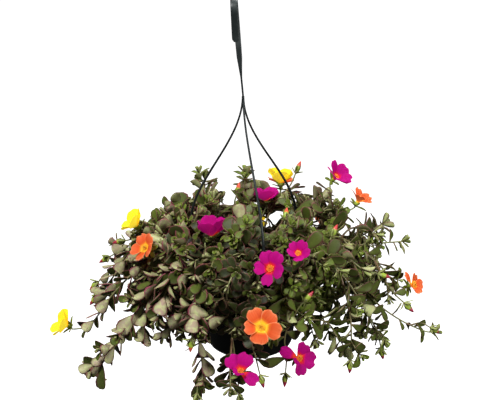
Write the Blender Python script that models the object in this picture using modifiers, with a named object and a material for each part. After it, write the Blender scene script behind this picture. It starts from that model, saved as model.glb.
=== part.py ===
"""Portulaca in a round hanging pot.

A round plastic pot hangs from three strands that grow out of one flat hook. Soil fills the pot, and
leafy stems stand in holes in the soil, arch over the rim and trail below it. The stems carry fleshy
leaves, buds and stalks, and a bloom of five petals round a crown of stamens sits on each stalk.

Metres, +Z up, -Y to the front. The origin is the point inside the hook's crown that the basket hangs
on. All shapes are made about the pot's axis with the top of its rim at zero height, and one empty
carries them to their place under the hook.
"""

import math
from dataclasses import dataclass, replace

import bmesh
import bpy
import numpy as np
from mathutils import Matrix, Vector
from mathutils.bvhtree import BVHTree

# Place of the pot under the hook
RIM_DROP = 0.323
AXIS_SHIFT = 0.019

# Pot
RIM_RADIUS = 0.075
BAND_HEIGHT = 0.009
WALL_TOP_RADIUS = 0.0715
FOOT_RADIUS = 0.0555
BASE_RADIUS = 0.050
POT_HEIGHT = 0.125
FOOT_HEIGHT = 0.011
WALL = 0.0018
FLOOR = 0.0025
POT_STEPS = 28
DRAIN_RADIUS = 0.0045
DRAIN_REACH = 0.033
DRAIN_COUNT = 4
DRAIN_SIDES = 10

# Lip of the pot, as (inset from the rim's radius, height)
LIP = ((0.0028, 0.001 - BAND_HEIGHT), (0.0022, -0.0008), (0.0014, 0.0), (0.0006, 0.0), (0.0, -0.0008),
       (0.0004, -BAND_HEIGHT))
BAND_UNDERCUT = 0.001
FOOT_ARC = (64.0, 30.0)
FOOT_INSET = 0.0012
FLOOR_INSET = 0.001

# Eyes of the rim, one for each strand
EYE_AZIMUTHS = (-78.0, 42.0, 162.0)
EYE_REACH = 0.080
EYE_DISC_RADIUS = 0.0066
EYE_HOLE_RADIUS = 0.0023
EYE_TOP = -0.001
EYE_THICK = 0.003
EYE_SIDES = 14
EYE_HOLE_SIDES = 8

# Hanger
STRAP_THICK = 0.0022
STRAP_WIDTH = 0.0087
STRAP_LOW_WIDTH = 0.0068
NECK_WIDTH = 0.0024
CROWN_RADIUS = 0.011
TIP_DROP = 0.047
NECK_DROP = 0.094
JUNCTION_DROP = 0.1175
STRAP_LEAN = 0.0905
TIP_LEAN = 0.045
TIP_FLARE = 0.0015
CROWN_STEPS = 9
STRAND_TOP_RADIUS = 0.00115
STRAND_LOW_RADIUS = 0.0017
STRAND_SWING = 0.178
STRAND_TAIL = 0.020
STRAND_STEPS = 12
CLIP_RADIUS = 0.0036
CLIP_HEIGHT = 0.0062
CLIP_SIDES = 8
JOIN_OFFSET = 0.0006

# Long leg of the hook, as (depth in crown radii, drop), and the strap's width by drop
STRAP_BACK = ((1.0, 0.034), (0.9, 0.046), (0.55, 0.060), (0.18, 0.075), (0.0, 0.084), (0.0, NECK_DROP),
              (0.0, JUNCTION_DROP + 0.002))
STRAP_WIDTHS = ((0.0, STRAP_WIDTH), (0.070, STRAP_LOW_WIDTH), (0.084, 0.6 * STRAP_LOW_WIDTH),
                (NECK_DROP, NECK_WIDTH))

# Soil
SOIL_DROP = 0.012
SOIL_CROWN = 0.003
SOIL_GAP = 0.0005
SOIL_FOOT_INSET = 0.003
SOIL_STEPS = 24
HOLE_DEPTH = 0.010
HOLE_SIDES = 6
GAP = 0.0003

# Stems: radii at the root, at a fork and at the tip, and the holes they stand in
ROOT_RADIUS = 0.0017
FORK_RADIUS = 0.0014
TIP_RADIUS = 0.0010
STEM_SIDES = 4
HOLE_RADIUS = (ROOT_RADIUS + GAP) / math.cos(math.pi / HOLE_SIDES)
ROOT_LIFT = 0.001
ROOT_TOP = 0.003
STALK_STRAIGHT = 0.009

# Paths of the stems: their step, and the turn in degrees or the run after which a plain ring stands
PATH_STEP = 0.002
SPLINE_STEPS = 12
RING_TURN = 22.0
RING_RUN = 0.045
TURN_OUT = 0.020

# Whorls: half heights, and how far they stay from the ends, from plain rings and from forks
WHORL_HALF = 0.0013
TIP_HALF = 0.0010
TIP_SWELL = 1.1
TIP_SEAT = 0.0042
LEAST_BARE = 0.014
STALK_BARE = 0.020
WHORL_CLEAR = 0.0050
FORK_CLEAR = 0.0060

# Arc of a whorl that a blade's root takes, the arc for all roots together and the arc between notches,
# in degrees, and the notches' reach in radii of the ring
ROOT_ARC = 60.0
ROOT_ARCS = 300.0
NOTCH_ARC = 80.0
LEAF_NOTCH = 1.35

# Leaves: size, droop, lean from the stem and twist to the light, with their ranges
LEAF_LENGTH = 0.029
LEAF_WIDTH = 0.0142
LEAF_DROOP = 0.16
LEAF_SPREAD = 60.0
LEAF_TWIST = 36.0
LEAF_RANGE = 0.12
LEAF_STEP = 0.06
LEAF_TURN = 28.0
LEAF_SPREAD_RANGE = 9.0
TIP_LEAF = 0.60
TIP_LEAF_COUNT = 4
TIP_LEAF_SPREAD = 40.0
TIP_TURN = 40.0
MOUND_HEART = (0.0, 0.0, -0.060)
SKY_PULL = 0.55

# Turns that a leaf tries to clear its neighbours, least angle between two of a whorl, and the room kept
LEAF_ASIDE = (0.0, 14.0, -14.0, 26.0, -26.0)
LEAST_ANGLE = 62.0
CLEARANCE = 0.0006
GUARD_POINTS = 5

# Bracts and buds
BRACT_LENGTH = 0.015
BRACT_WIDTH = 0.0044
BRACT_COUNT = 3
BRACT_DROOP = 0.05
BUD_BRACT_SPREAD = 62.0
BLOOM_BRACT_SPREAD = 84.0
BUD_RADIUS = 0.0027
BUD_LENGTH = 0.0125
BUD_TAPER = 0.8

# Blooms: hub, calyx and petals
HUB_RADIUS = 0.0026
HUB_THICK = 0.0016
CALYX_RADIUS = 0.0022
PETAL_COUNT = 5
BLOOM_TURN = 18.0
PETAL_WIDTH = 1.04
PETAL_TWIST = 10.0
PETAL_DROOP = 0.10
PETAL_NOTCH = 1.12
LEAST_FLARE = 0.66

# Stamens, as a fluted crown: ridges and hollows as (spread, height) shares
FULL_BLOOM = 0.018
STAMEN_REACH = 0.0036
STAMEN_HEIGHT = 0.0052
STAMEN_COUNT = 5
STAMEN_FOOT = 0.0011
STAMEN_RIDGE = (1.0, 0.9)
STAMEN_HOLLOW = (0.5, 0.55)

# Outlines of a leaf, a tip leaf, a bract and a petal: (along, across) from the root to the tip on one side,
# as shares of the length and of the half width, and the share of the length at which the middle ends
LEAF_OUTLINE = (((0.48, 0.80), (0.82, 0.84)), 1.0)
TIP_OUTLINE = (((0.66, 1.0),), 1.0)
BRACT_OUTLINE = (((0.40, 1.0),), 1.0)
PETAL_OUTLINE = (((0.74, 1.0), (1.0, 0.54)), 0.92)

# Points nearer than this are one, and shorter edges are taken out
WELD = 0.0000005
TINY_EDGE = 0.000002

# Finishes, as (colour, roughness)
FINISHES = {
    "black_plastic": ((0.012, 0.013, 0.014), 0.50),
    "hanger_plastic": ((0.018, 0.030, 0.028), 0.42),
    "soil": ((0.045, 0.028, 0.018), 0.95),
    "foliage": ((0.115, 0.165, 0.060), 0.50),
    "stamens": ((0.82, 0.36, 0.02), 0.60),
    "petals_magenta": ((0.56, 0.006, 0.26), 0.50),
    "petals_orange": ((0.80, 0.145, 0.045), 0.50),
    "petals_yellow": ((0.90, 0.76, 0.03), 0.50),
}


@dataclass(frozen=True)
class Bloom:
    """One bloom: colour, seat and facing in degrees and metres, radius, and how far its petals rise."""

    number: int
    colour: str
    seat: tuple
    facing: tuple
    radius: float
    rise: float


@dataclass(frozen=True)
class Branch:
    """A branch from a place on the stem's first branch, through points, to a leafy, budded or blooming end.

    The points are (azimuth in degrees, distance from the pot's axis, height over the rim).
    """

    fork: float
    way: tuple
    end: str = "leaves"
    whorls: int = 2
    bare: float = 0.15


@dataclass(frozen=True)
class Stem:
    """One rooted stem: its name, its hole in the soil as (azimuth, reach), and its branches."""

    name: str
    hole: tuple
    branches: tuple


BLOOMS = (
    Bloom(1, "magenta", (29, 0.124, 0.077), (325, 50), 0.019, 45),
    Bloom(2, "orange", (16, 0.143, 0.052), (0, 60), 0.017, 38),
    Bloom(3, "yellow", (67, 0.103, 0.058), (90, 80), 0.016, 45),
    Bloom(4, "orange", (72, 0.135, 0.042), (80, 72), 0.018, 28),
    Bloom(5, "magenta", (70, 0.059, 0.048), (90, 80), 0.018, 38),
    Bloom(6, "magenta", (212, 0.056, 0.034), (100, 80), 0.019, 48),
    Bloom(7, "orange", (206, 0.139, 0.030), (215, 38), 0.019, 22),
    Bloom(8, "yellow", (182, 0.141, 0.038), (185, 45), 0.016, 45),
    Bloom(9, "magenta", (281, 0.125, 0.031), (262, 35), 0.021, 18),
    Bloom(10, "magenta", (301, 0.111, 0.037), (270, 55), 0.015, 35),
    Bloom(11, "orange", (356, 0.205, -0.040), (332, 32), 0.018, 35),
    Bloom(12, "yellow", (197, 0.236, -0.070), (188, 32), 0.017, 42),
    Bloom(13, "orange", (275, 0.151, -0.031), (268, 30), 0.022, 14),
    Bloom(14, "magenta", (265, 0.131, -0.102), (268, 50), 0.021, 25),
    Bloom(15, "magenta", (297, 0.126, -0.092), (318, 12), 0.022, 25),
    Bloom(16, "magenta", (125, 0.150, -0.012), (120, 40), 0.020, 25),
    Bloom(17, "yellow", (88, 0.175, -0.035), (85, 35), 0.018, 22),
    Bloom(18, "orange", (52, 0.165, -0.020), (48, 36), 0.019, 22),
)

BLOOM_ENDS = {f"bloom {bloom.number}": bloom for bloom in BLOOMS}

STEMS = (
    Stem("stem_top_right", (28, 0.040), (
        Branch(0.0, ((29, 0.066, 0.030), (30, 0.098, 0.042), (29, 0.117, 0.058)), "bloom 1", 2, 0.35),
        Branch(0.30, ((16, 0.088, 0.032), (15, 0.120, 0.040)), "bloom 2", 2, 0.35),
        Branch(0.55, ((40, 0.112, 0.046), (44, 0.130, 0.040)), "leaves", 2, 0.2),
        Branch(0.45, ((8, 0.100, 0.052), (2, 0.116, 0.056)), "leaves", 2, 0.2),
    )),
    Stem("stem_back_top", (66, 0.036), (
        Branch(0.0, ((66, 0.062, 0.030), (66, 0.090, 0.036)), "bloom 3", 2, 0.35),
        Branch(0.50, ((76, 0.104, 0.036), (73, 0.122, 0.026)), "bloom 4", 2, 0.3),
        Branch(0.55, ((58, 0.098, 0.058), (56, 0.108, 0.075)), "bud", 2, 0.3),
    )),
    Stem("stem_crown", (110, 0.016), (
        Branch(0.0, ((100, 0.034, 0.040), (96, 0.052, 0.066), (96, 0.060, 0.088)), "leaves", 2, 0.3),
        Branch(0.30, ((80, 0.036, 0.024), (73, 0.050, 0.028)), "bloom 5", 2, 0.3),
        Branch(0.20, ((190, 0.030, 0.018), (206, 0.046, 0.014)), "bloom 6", 2, 0.3),
        Branch(0.45, ((116, 0.044, 0.048), (112, 0.046, 0.062)), "bud", 2, 0.3),
    )),
    Stem("stem_left_front", (208, 0.046), (
        Branch(0.0, ((207, 0.074, 0.026), (206, 0.110, 0.022)), "bloom 7", 2, 0.35),
        Branch(0.40, ((214, 0.118, 0.004), (210, 0.160, -0.045), (206, 0.192, -0.098), (201, 0.216, -0.126)),
               "leaves", 4, 0.15),
        Branch(0.55, ((224, 0.135, 0.000), (226, 0.160, -0.040)), "leaves", 2, 0.2),
    )),
    Stem("stem_left", (184, 0.048), (
        Branch(0.0, ((184, 0.076, 0.028), (183, 0.112, 0.026)), "bloom 8", 2, 0.4),
        Branch(0.60, ((178, 0.136, 0.018), (177, 0.160, 0.012)), "bud", 2, 0.2),
        Branch(0.45, ((190, 0.120, 0.022), (192, 0.152, 0.004)), "leaves", 2, 0.2),
    )),
    Stem("stem_front", (270, 0.044), (
        Branch(0.0, ((271, 0.076, 0.026), (276, 0.102, 0.022)), "bloom 9", 2, 0.35),
        Branch(0.35, ((268, 0.098, 0.010), (270, 0.120, -0.014), (272, 0.132, -0.032)), "bloom 13", 2, 0.2),
        Branch(0.55, ((262, 0.110, 0.026), (258, 0.132, 0.010)), "leaves", 2, 0.2),
        Branch(0.30, ((262, 0.066, 0.044), (256, 0.082, 0.054)), "leaves", 2, 0.2),
    )),
    Stem("stem_front_right", (300, 0.044), (
        Branch(0.0, ((301, 0.074, 0.028), (302, 0.096, 0.022)), "bloom 10", 2, 0.4),
        Branch(0.40, ((294, 0.096, 0.006), (294, 0.112, -0.040), (293, 0.108, -0.078)), "bloom 15", 3, 0.2),
        Branch(0.60, ((318, 0.112, 0.026), (324, 0.138, 0.008)), "leaves", 2, 0.2),
        Branch(0.35, ((316, 0.068, 0.044), (324, 0.088, 0.052)), "leaves", 2, 0.2),
    )),
    Stem("stem_right", (352, 0.048), (
        Branch(0.0, ((353, 0.078, 0.026), (354, 0.120, 0.022), (355, 0.162, -0.010), (356, 0.184, -0.038)),
               "bloom 11", 3, 0.3),
        Branch(0.70, ((350, 0.178, -0.036), (349, 0.198, -0.054)), "bud", 2, 0.2),
        Branch(0.45, ((359, 0.130, 0.034), (360, 0.160, 0.024)), "leaves", 2, 0.2),
    )),
    Stem("stem_far_left", (194, 0.032), (
        Branch(0.0, ((195, 0.078, 0.012), (195, 0.125, 0.006), (196, 0.172, -0.030), (197, 0.206, -0.070)),
               "bloom 12", 3, 0.3),
        Branch(0.60, ((192, 0.170, -0.026), (190, 0.190, -0.056)), "leaves", 2, 0.2),
    )),
    Stem("stem_front_trailing", (252, 0.048), (
        Branch(0.0, ((252, 0.080, 0.014), (254, 0.104, -0.008), (258, 0.108, -0.060), (261, 0.108, -0.104)),
               "bloom 14", 3, 0.3),
        Branch(0.70, ((258, 0.116, -0.100), (258, 0.117, -0.136)), "leaves", 2, 0.15),
        Branch(0.60, ((270, 0.112, -0.070), (276, 0.120, -0.112)), "bud", 2, 0.2),
    )),
    Stem("stem_front_left_trailing", (236, 0.048), (
        Branch(0.0, ((236, 0.080, 0.016), (237, 0.112, -0.004), (239, 0.122, -0.058), (240, 0.117, -0.106),
                     (240, 0.115, -0.138)), "leaves", 4, 0.3),
        Branch(0.45, ((240, 0.134, -0.036), (240, 0.140, -0.062)), "bud", 2, 0.2),
        Branch(0.25, ((243, 0.096, 0.026), (246, 0.116, 0.022)), "leaves", 2, 0.2),
    )),
    Stem("stem_left_high", (171, 0.048), (
        Branch(0.0, ((171, 0.078, 0.026), (172, 0.124, 0.014), (174, 0.166, -0.018), (175, 0.198, -0.050)),
               "bud", 4, 0.3),
        Branch(0.70, ((180, 0.176, -0.036), (181, 0.196, -0.060)), "bud", 2, 0.2),
        Branch(0.60, ((167, 0.160, -0.006), (168, 0.188, -0.024)), "bud", 2, 0.2),
    )),
    Stem("stem_right_low", (328, 0.048), (
        Branch(0.0, ((328, 0.080, 0.016), (331, 0.124, 0.000), (335, 0.154, -0.044), (339, 0.170, -0.082),
                     (340, 0.175, -0.106)), "bud", 4, 0.3),
        Branch(0.48, ((328, 0.144, -0.046), (325, 0.152, -0.080), (324, 0.153, -0.108)), "bud", 3, 0.2),
        Branch(0.35, ((338, 0.124, 0.014), (342, 0.152, -0.008)), "leaves", 2, 0.2),
    )),
    Stem("stem_far_right", (340, 0.040), (
        Branch(0.0, ((342, 0.076, 0.014), (345, 0.118, -0.002), (349, 0.158, -0.052), (351, 0.190, -0.079),
                     (352, 0.224, -0.096), (353, 0.240, -0.098)), "leaves", 4, 0.25),
        Branch(0.42, ((346, 0.150, -0.062), (343, 0.166, -0.094)), "leaves", 2, 0.2),
    )),
    Stem("stem_right_high", (6, 0.044), (
        Branch(0.0, ((6, 0.076, 0.014), (6, 0.118, 0.010), (7, 0.160, 0.004), (6, 0.200, 0.006)),
               "leaves", 4, 0.3),
        Branch(0.60, ((14, 0.158, 0.012), (19, 0.186, 0.016)), "leaves", 2, 0.2),
        Branch(0.45, ((14, 0.140, -0.020), (16, 0.164, -0.058)), "leaves", 2, 0.2),
    )),
    Stem("stem_top_left", (142, 0.036), (
        Branch(0.0, ((140, 0.060, 0.034), (131, 0.088, 0.052), (124, 0.107, 0.068)), "leaves", 2, 0.3),
        Branch(0.40, ((158, 0.086, 0.032), (167, 0.098, 0.036)), "bud", 2, 0.2),
        Branch(0.50, ((146, 0.108, 0.040), (150, 0.134, 0.026)), "leaves", 2, 0.2),
    )),
    Stem("stem_back_left", (124, 0.050), (
        Branch(0.0, ((124, 0.080, 0.018), (124, 0.110, -0.004), (125, 0.130, -0.020)), "bloom 16", 2, 0.35),
        Branch(0.50, ((132, 0.140, 0.000), (137, 0.168, -0.036)), "leaves", 2, 0.2),
        Branch(0.40, ((114, 0.128, -0.004), (112, 0.150, -0.060), (112, 0.152, -0.104)), "leaves", 3, 0.2),
    )),
    Stem("stem_back", (92, 0.050), (
        Branch(0.0, ((91, 0.080, 0.022), (89, 0.122, 0.004), (88, 0.150, -0.034)), "bloom 17", 2, 0.3),
        Branch(0.40, ((98, 0.120, 0.018), (102, 0.150, 0.004)), "leaves", 2, 0.2),
        Branch(0.45, ((78, 0.130, -0.008), (76, 0.156, -0.050), (75, 0.160, -0.090)), "leaves", 3, 0.2),
    )),
    Stem("stem_back_right", (54, 0.050), (
        Branch(0.0, ((54, 0.080, 0.018), (53, 0.118, -0.002), (52, 0.142, -0.022)), "bloom 18", 2, 0.35),
        Branch(0.50, ((44, 0.140, -0.008), (40, 0.168, -0.040)), "leaves", 2, 0.2),
        Branch(0.45, ((62, 0.132, -0.010), (61, 0.156, -0.064), (60, 0.158, -0.100)), "leaves", 3, 0.2),
    )),
    Stem("stem_back_left_trailing", (152, 0.046), (
        Branch(0.0, ((152, 0.080, 0.016), (152, 0.124, 0.002), (151, 0.160, -0.048), (150, 0.176, -0.094)),
               "leaves", 4, 0.3),
        Branch(0.45, ((160, 0.140, -0.012), (163, 0.172, -0.048)), "leaves", 2, 0.2),
        Branch(0.50, ((144, 0.150, -0.030), (140, 0.168, -0.076)), "leaves", 2, 0.2),
    )),
    Stem("stem_back_right_trailing", (20, 0.046), (
        Branch(0.0, ((21, 0.080, 0.014), (23, 0.124, -0.004), (25, 0.158, -0.048), (26, 0.174, -0.092)),
               "leaves", 4, 0.3),
        Branch(0.45, ((31, 0.142, -0.008), (32, 0.172, -0.030)), "leaves", 2, 0.2),
    )),
)


def clear_scene():
    """Remove every object that the scene holds."""
    for item in list(bpy.data.objects):
        bpy.data.objects.remove(item)


def make_material(name, colour, roughness):
    """Principled material of one colour."""
    material = bpy.data.materials.new(name)
    material.use_nodes = True
    shader = material.node_tree.nodes["Principled BSDF"]
    shader.inputs["Base Color"].default_value = (*colour, 1.0)
    shader.inputs["Roughness"].default_value = roughness
    shader.inputs["Metallic"].default_value = 0.0
    return material


def unit(vector):
    """The vector at length one."""
    return vector / np.linalg.norm(vector)


def polar(azimuth, reach, rise):
    """Point at an azimuth in degrees, a distance from the pot's axis and a height over the rim."""
    angle = math.radians(azimuth)
    return np.array((reach * math.cos(angle), reach * math.sin(angle), rise))


def direction(azimuth, elevation):
    """Unit vector at an azimuth and an elevation in degrees."""
    turn, lift = math.radians(azimuth), math.radians(elevation)
    return np.array((math.cos(lift) * math.cos(turn), math.cos(lift) * math.sin(turn), math.sin(lift)))


def wobble(number):
    """Evenly spread value from -1 to 1 for a whole number, by steps of the golden ratio."""
    return 2.0 * ((number * 0.618034) % 1.0) - 1.0


def frame_about(axis, hint):
    """Across and up vectors square to the axis, with up as near to the hint as it can be."""
    up = hint - axis * np.dot(hint, axis)
    if np.linalg.norm(up) < 1e-6:
        up = np.cross(axis, (1.0, 0.0, 0.0))
    up = unit(up)
    return np.cross(up, axis), up


def smooth_path(points):
    """Points of the Catmull-Rom curve through the given points, at an even fine step."""
    points = np.asarray(points, float)
    padded = np.vstack((2 * points[0] - points[1], points, 2 * points[-1] - points[-2]))
    steps = np.linspace(0.0, 1.0, SPLINE_STEPS, endpoint=False)[:, None]
    dense = []
    for first, second, third, fourth in zip(padded, padded[1:], padded[2:], padded[3:]):
        dense.append(0.5 * (2 * second + (third - first) * steps
                            + (2 * first - 5 * second + 4 * third - fourth) * steps ** 2
                            + (3 * second - first - 3 * third + fourth) * steps ** 3))
    dense = np.vstack((*dense, points[-1:]))
    run = np.concatenate(([0.0], np.cumsum(np.linalg.norm(np.diff(dense, axis=0), axis=1))))
    wanted = np.linspace(0.0, run[-1], int(run[-1] / PATH_STEP) + 2)
    return np.column_stack([np.interp(wanted, run, dense[:, axis]) for axis in range(3)])


def mesh_object(name, points, faces):
    """Object of a new mesh, linked to the scene."""
    mesh = bpy.data.meshes.new(name)
    mesh.from_pydata([tuple(point) for point in points], [], faces)
    item = bpy.data.objects.new(name, mesh)
    bpy.context.scene.collection.objects.link(item)
    return item


def evaluated_mesh(item):
    """New mesh of an object with its modifiers, or of a curve, in world space."""
    bpy.context.view_layer.update()
    graph = bpy.context.evaluated_depsgraph_get()
    mesh = bpy.data.meshes.new_from_object(item.evaluated_get(graph))
    mesh.transform(item.matrix_world)
    return mesh


def object_shape(item):
    """Points and faces of an object's mesh."""
    return ([tuple(vertex.co) for vertex in item.data.vertices],
            [tuple(face.vertices) for face in item.data.polygons])


def settle(name, item):
    """Replace an object by a plain mesh object of its evaluated shape, with doubled points welded."""
    mesh = evaluated_mesh(item)
    work = bmesh.new()
    work.from_mesh(mesh)
    bmesh.ops.remove_doubles(work, verts=work.verts, dist=WELD)
    bmesh.ops.recalc_face_normals(work, faces=work.faces)
    work.to_mesh(mesh)
    work.free()
    bpy.data.objects.remove(item)
    solid = bpy.data.objects.new(name, mesh)
    bpy.context.scene.collection.objects.link(solid)
    return solid


def tube(name, path, radii, resolution):
    """Round tube with closed ends along a path, with a radius at each point."""
    curve = bpy.data.curves.new(name, "CURVE")
    curve.dimensions = "3D"
    curve.bevel_depth = 1.0
    curve.bevel_resolution = resolution
    curve.use_fill_caps = True
    line = curve.splines.new("POLY")
    line.points.add(len(path) - 1)
    for point, place, radius in zip(line.points, path, radii):
        point.co = (*place, 1.0)
        point.radius = radius
    item = bpy.data.objects.new(name, curve)
    bpy.context.scene.collection.objects.link(item)
    return settle(name, item)


def turned(name, profile, steps):
    """Solid turned about Z from (radius, height) points that start and end on the axis."""
    points = [(radius, 0.0, height) for radius, height in profile]
    mesh = bpy.data.meshes.new(name)
    mesh.from_pydata(points, [(i, i + 1) for i in range(len(points) - 1)], [])
    item = bpy.data.objects.new(name, mesh)
    bpy.context.scene.collection.objects.link(item)
    screw = item.modifiers.new("turn", "SCREW")
    screw.axis = "Z"
    screw.steps = steps
    screw.render_steps = steps
    screw.use_merge_vertices = True
    screw.merge_threshold = 0.00001
    return settle(name, item)


def cylinder(name, centre, low_radius, top_radius, height, sides):
    """Closed upright cone or cylinder about its centre."""
    mesh = bpy.data.meshes.new(name)
    work = bmesh.new()
    bmesh.ops.create_cone(work, cap_ends=True, segments=sides, radius1=low_radius, radius2=top_radius,
                          depth=height, matrix=Matrix.Translation(Vector(centre)))
    work.to_mesh(mesh)
    work.free()
    item = bpy.data.objects.new(name, mesh)
    bpy.context.scene.collection.objects.link(item)
    return item


def is_closed(mesh):
    """Whether every edge of a mesh has exactly two faces."""
    work = bmesh.new()
    work.from_mesh(mesh)
    bmesh.ops.remove_doubles(work, verts=work.verts, dist=WELD)
    closed = all(len(edge.link_faces) == 2 for edge in work.edges)
    work.free()
    return closed


def boolean(base, others, operation):
    """Join other closed solids to the base, or cut them out of it, and return one plain solid."""
    group = bpy.data.collections.new("operands")
    bpy.context.scene.collection.children.link(group)
    for item in others:
        bpy.context.scene.collection.objects.unlink(item)
        group.objects.link(item)
    name = base.name
    modifier = base.modifiers.new("boolean", "BOOLEAN")
    modifier.operation = operation
    modifier.operand_type = "COLLECTION"
    modifier.collection = group
    modifier.solver = "EXACT"
    if not is_closed(evaluated_mesh(base)):
        modifier.solver = "MANIFOLD"
    solid = settle(name, base)
    for item in others:
        bpy.data.objects.remove(item)
    bpy.data.collections.remove(group)
    solid.name = name
    return solid


def one_body(item):
    """Keep the largest body of faces joined by their edges, in triangles and without tiny edges."""
    work = bmesh.new()
    work.from_mesh(item.data)
    bmesh.ops.dissolve_degenerate(work, edges=work.edges, dist=TINY_EDGE)
    if any(len(edge.link_faces) != 2 for edge in work.edges):
        work.clear()
        work.from_mesh(item.data)
    bmesh.ops.triangulate(work, faces=work.faces)
    left = set(work.faces)
    bodies = []
    while left:
        body, reach = set(), [left.pop()]
        while reach:
            face = reach.pop()
            body.add(face)
            near = {other for edge in face.edges for other in edge.link_faces} & left
            left -= near
            reach.extend(near)
        bodies.append(body)
    largest = max(bodies, key=len)
    bmesh.ops.delete(work, geom=[face for face in work.faces if face not in largest], context="FACES")
    work.to_mesh(item.data)
    work.free()
    return item


def pot():
    """Turned wall and floor with a band round the rim, three eyed discs on it and drain holes."""
    foot = FOOT_HEIGHT - POT_HEIGHT
    arc = [(BASE_RADIUS + (FOOT_RADIUS - BASE_RADIUS) * math.sin(angle),
            -POT_HEIGHT + FOOT_HEIGHT * (1 - math.cos(angle)))
           for angle in np.radians(FOOT_ARC)]
    profile = [
        (0.0, FLOOR - POT_HEIGHT),
        (BASE_RADIUS - WALL - FLOOR_INSET, FLOOR - POT_HEIGHT),
        (FOOT_RADIUS - WALL - FOOT_INSET, -POT_HEIGHT + 0.5 * FOOT_HEIGHT),
        (FOOT_RADIUS - WALL, foot),
        (WALL_TOP_RADIUS - WALL, -BAND_HEIGHT - 2 * BAND_UNDERCUT),
        *((RIM_RADIUS - inset, height) for inset, height in LIP),
        (WALL_TOP_RADIUS, -BAND_HEIGHT - BAND_UNDERCUT),
        (FOOT_RADIUS, foot),
        *arc,
        (BASE_RADIUS, -POT_HEIGHT),
        (0.0, -POT_HEIGHT),
    ]
    wall = turned("pot", profile, POT_STEPS)
    discs, cuts = [], []
    for azimuth in EYE_AZIMUTHS:
        centre = polar(azimuth, EYE_REACH, EYE_TOP - EYE_THICK / 2)
        discs.append(cylinder("eye_disc", centre, EYE_DISC_RADIUS, EYE_DISC_RADIUS, EYE_THICK, EYE_SIDES))
        cuts.append(cylinder("eye_hole", centre, EYE_HOLE_RADIUS, EYE_HOLE_RADIUS, 3 * EYE_THICK,
                             EYE_HOLE_SIDES))
    for number in range(DRAIN_COUNT):
        centre = polar((number + 0.5) * 360.0 / DRAIN_COUNT, DRAIN_REACH, -POT_HEIGHT)
        cuts.append(cylinder("drain", centre, DRAIN_RADIUS, DRAIN_RADIUS, 4 * FLOOR, DRAIN_SIDES))
    return one_body(boolean(boolean(wall, discs, "UNION"), cuts, "DIFFERENCE"))


def strap():
    """Flat strap over the crown, with its free tip in front and its long leg behind, down to the neck."""
    leg = CROWN_RADIUS + STRAP_THICK / 2
    crown = [(leg * math.cos(angle), -CROWN_RADIUS + leg * math.sin(angle))
             for angle in np.radians(np.linspace(180, 0, CROWN_STEPS))]
    front = [(-leg - TIP_FLARE, -TIP_DROP), (-leg, -0.5 * TIP_DROP)]
    back = [(share * leg, -drop) for share, drop in STRAP_BACK]
    line = front + crown + back
    middle = len(front) + len(crown) // 2
    points = []
    for number, (depth, height) in enumerate(line):
        lean = TIP_LEAN if number < middle else STRAP_LEAN
        centre = -AXIS_SHIFT - lean * min(height, 0.0)
        drop = -height if number > middle else 0.0
        width = np.interp(drop, *zip(*STRAP_WIDTHS))
        for side in (-0.5, 0.5):
            points.append((centre + side * width, depth, RIM_DROP + height))
    faces = [(2 * i, 2 * i + 1, 2 * i + 3, 2 * i + 2) for i in range(len(line) - 1)]
    item = mesh_object("hanger", points, faces)
    shell = item.modifiers.new("thickness", "SOLIDIFY")
    shell.thickness = STRAP_THICK
    shell.offset = 0.0
    shell.use_even_offset = True
    return settle("hanger", item)


def strand_path(azimuth):
    """Strand from the junction: it swings out by a smooth step of its drop, then hangs through its eye."""
    start = np.array((-AXIS_SHIFT + STRAP_LEAN * JUNCTION_DROP, 0.0, RIM_DROP - JUNCTION_DROP))
    end = polar(azimuth, EYE_REACH, 0.0)
    across = np.array((end[0] - start[0], end[1] - start[1], 0.0))
    start = start + unit(across) * JOIN_OFFSET
    fall = start[2] + STRAND_TAIL
    bend = STRAND_SWING + 0.4 * (fall - STRAND_SWING)
    drops = np.concatenate((np.linspace(0.0, STRAND_SWING, STRAND_STEPS), (bend, fall)))
    path = []
    for drop in drops:
        part = min(1.0, drop / STRAND_SWING)
        swing = part * part * (3 - 2 * part)
        path.append((start[0] + (end[0] - start[0]) * swing, start[1] + (end[1] - start[1]) * swing,
                     start[2] - drop))
    radii = np.interp(drops, (0.0, STRAND_SWING), (STRAND_TOP_RADIUS, STRAND_LOW_RADIUS))
    return path, radii


def hanger():
    """The strap, three strands and the clip that holds each strand under its eye, in one piece."""
    pieces = []
    for azimuth in EYE_AZIMUTHS:
        path, radii = strand_path(azimuth)
        pieces.append(tube("strand", path, radii, 1))
        top = EYE_TOP - EYE_THICK - GAP
        pieces.append(cylinder("clip", polar(azimuth, EYE_REACH, top - CLIP_HEIGHT / 2),
                               STRAND_LOW_RADIUS + GAP, CLIP_RADIUS, CLIP_HEIGHT, CLIP_SIDES))
    return one_body(boolean(strap(), pieces, "UNION"))


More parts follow.
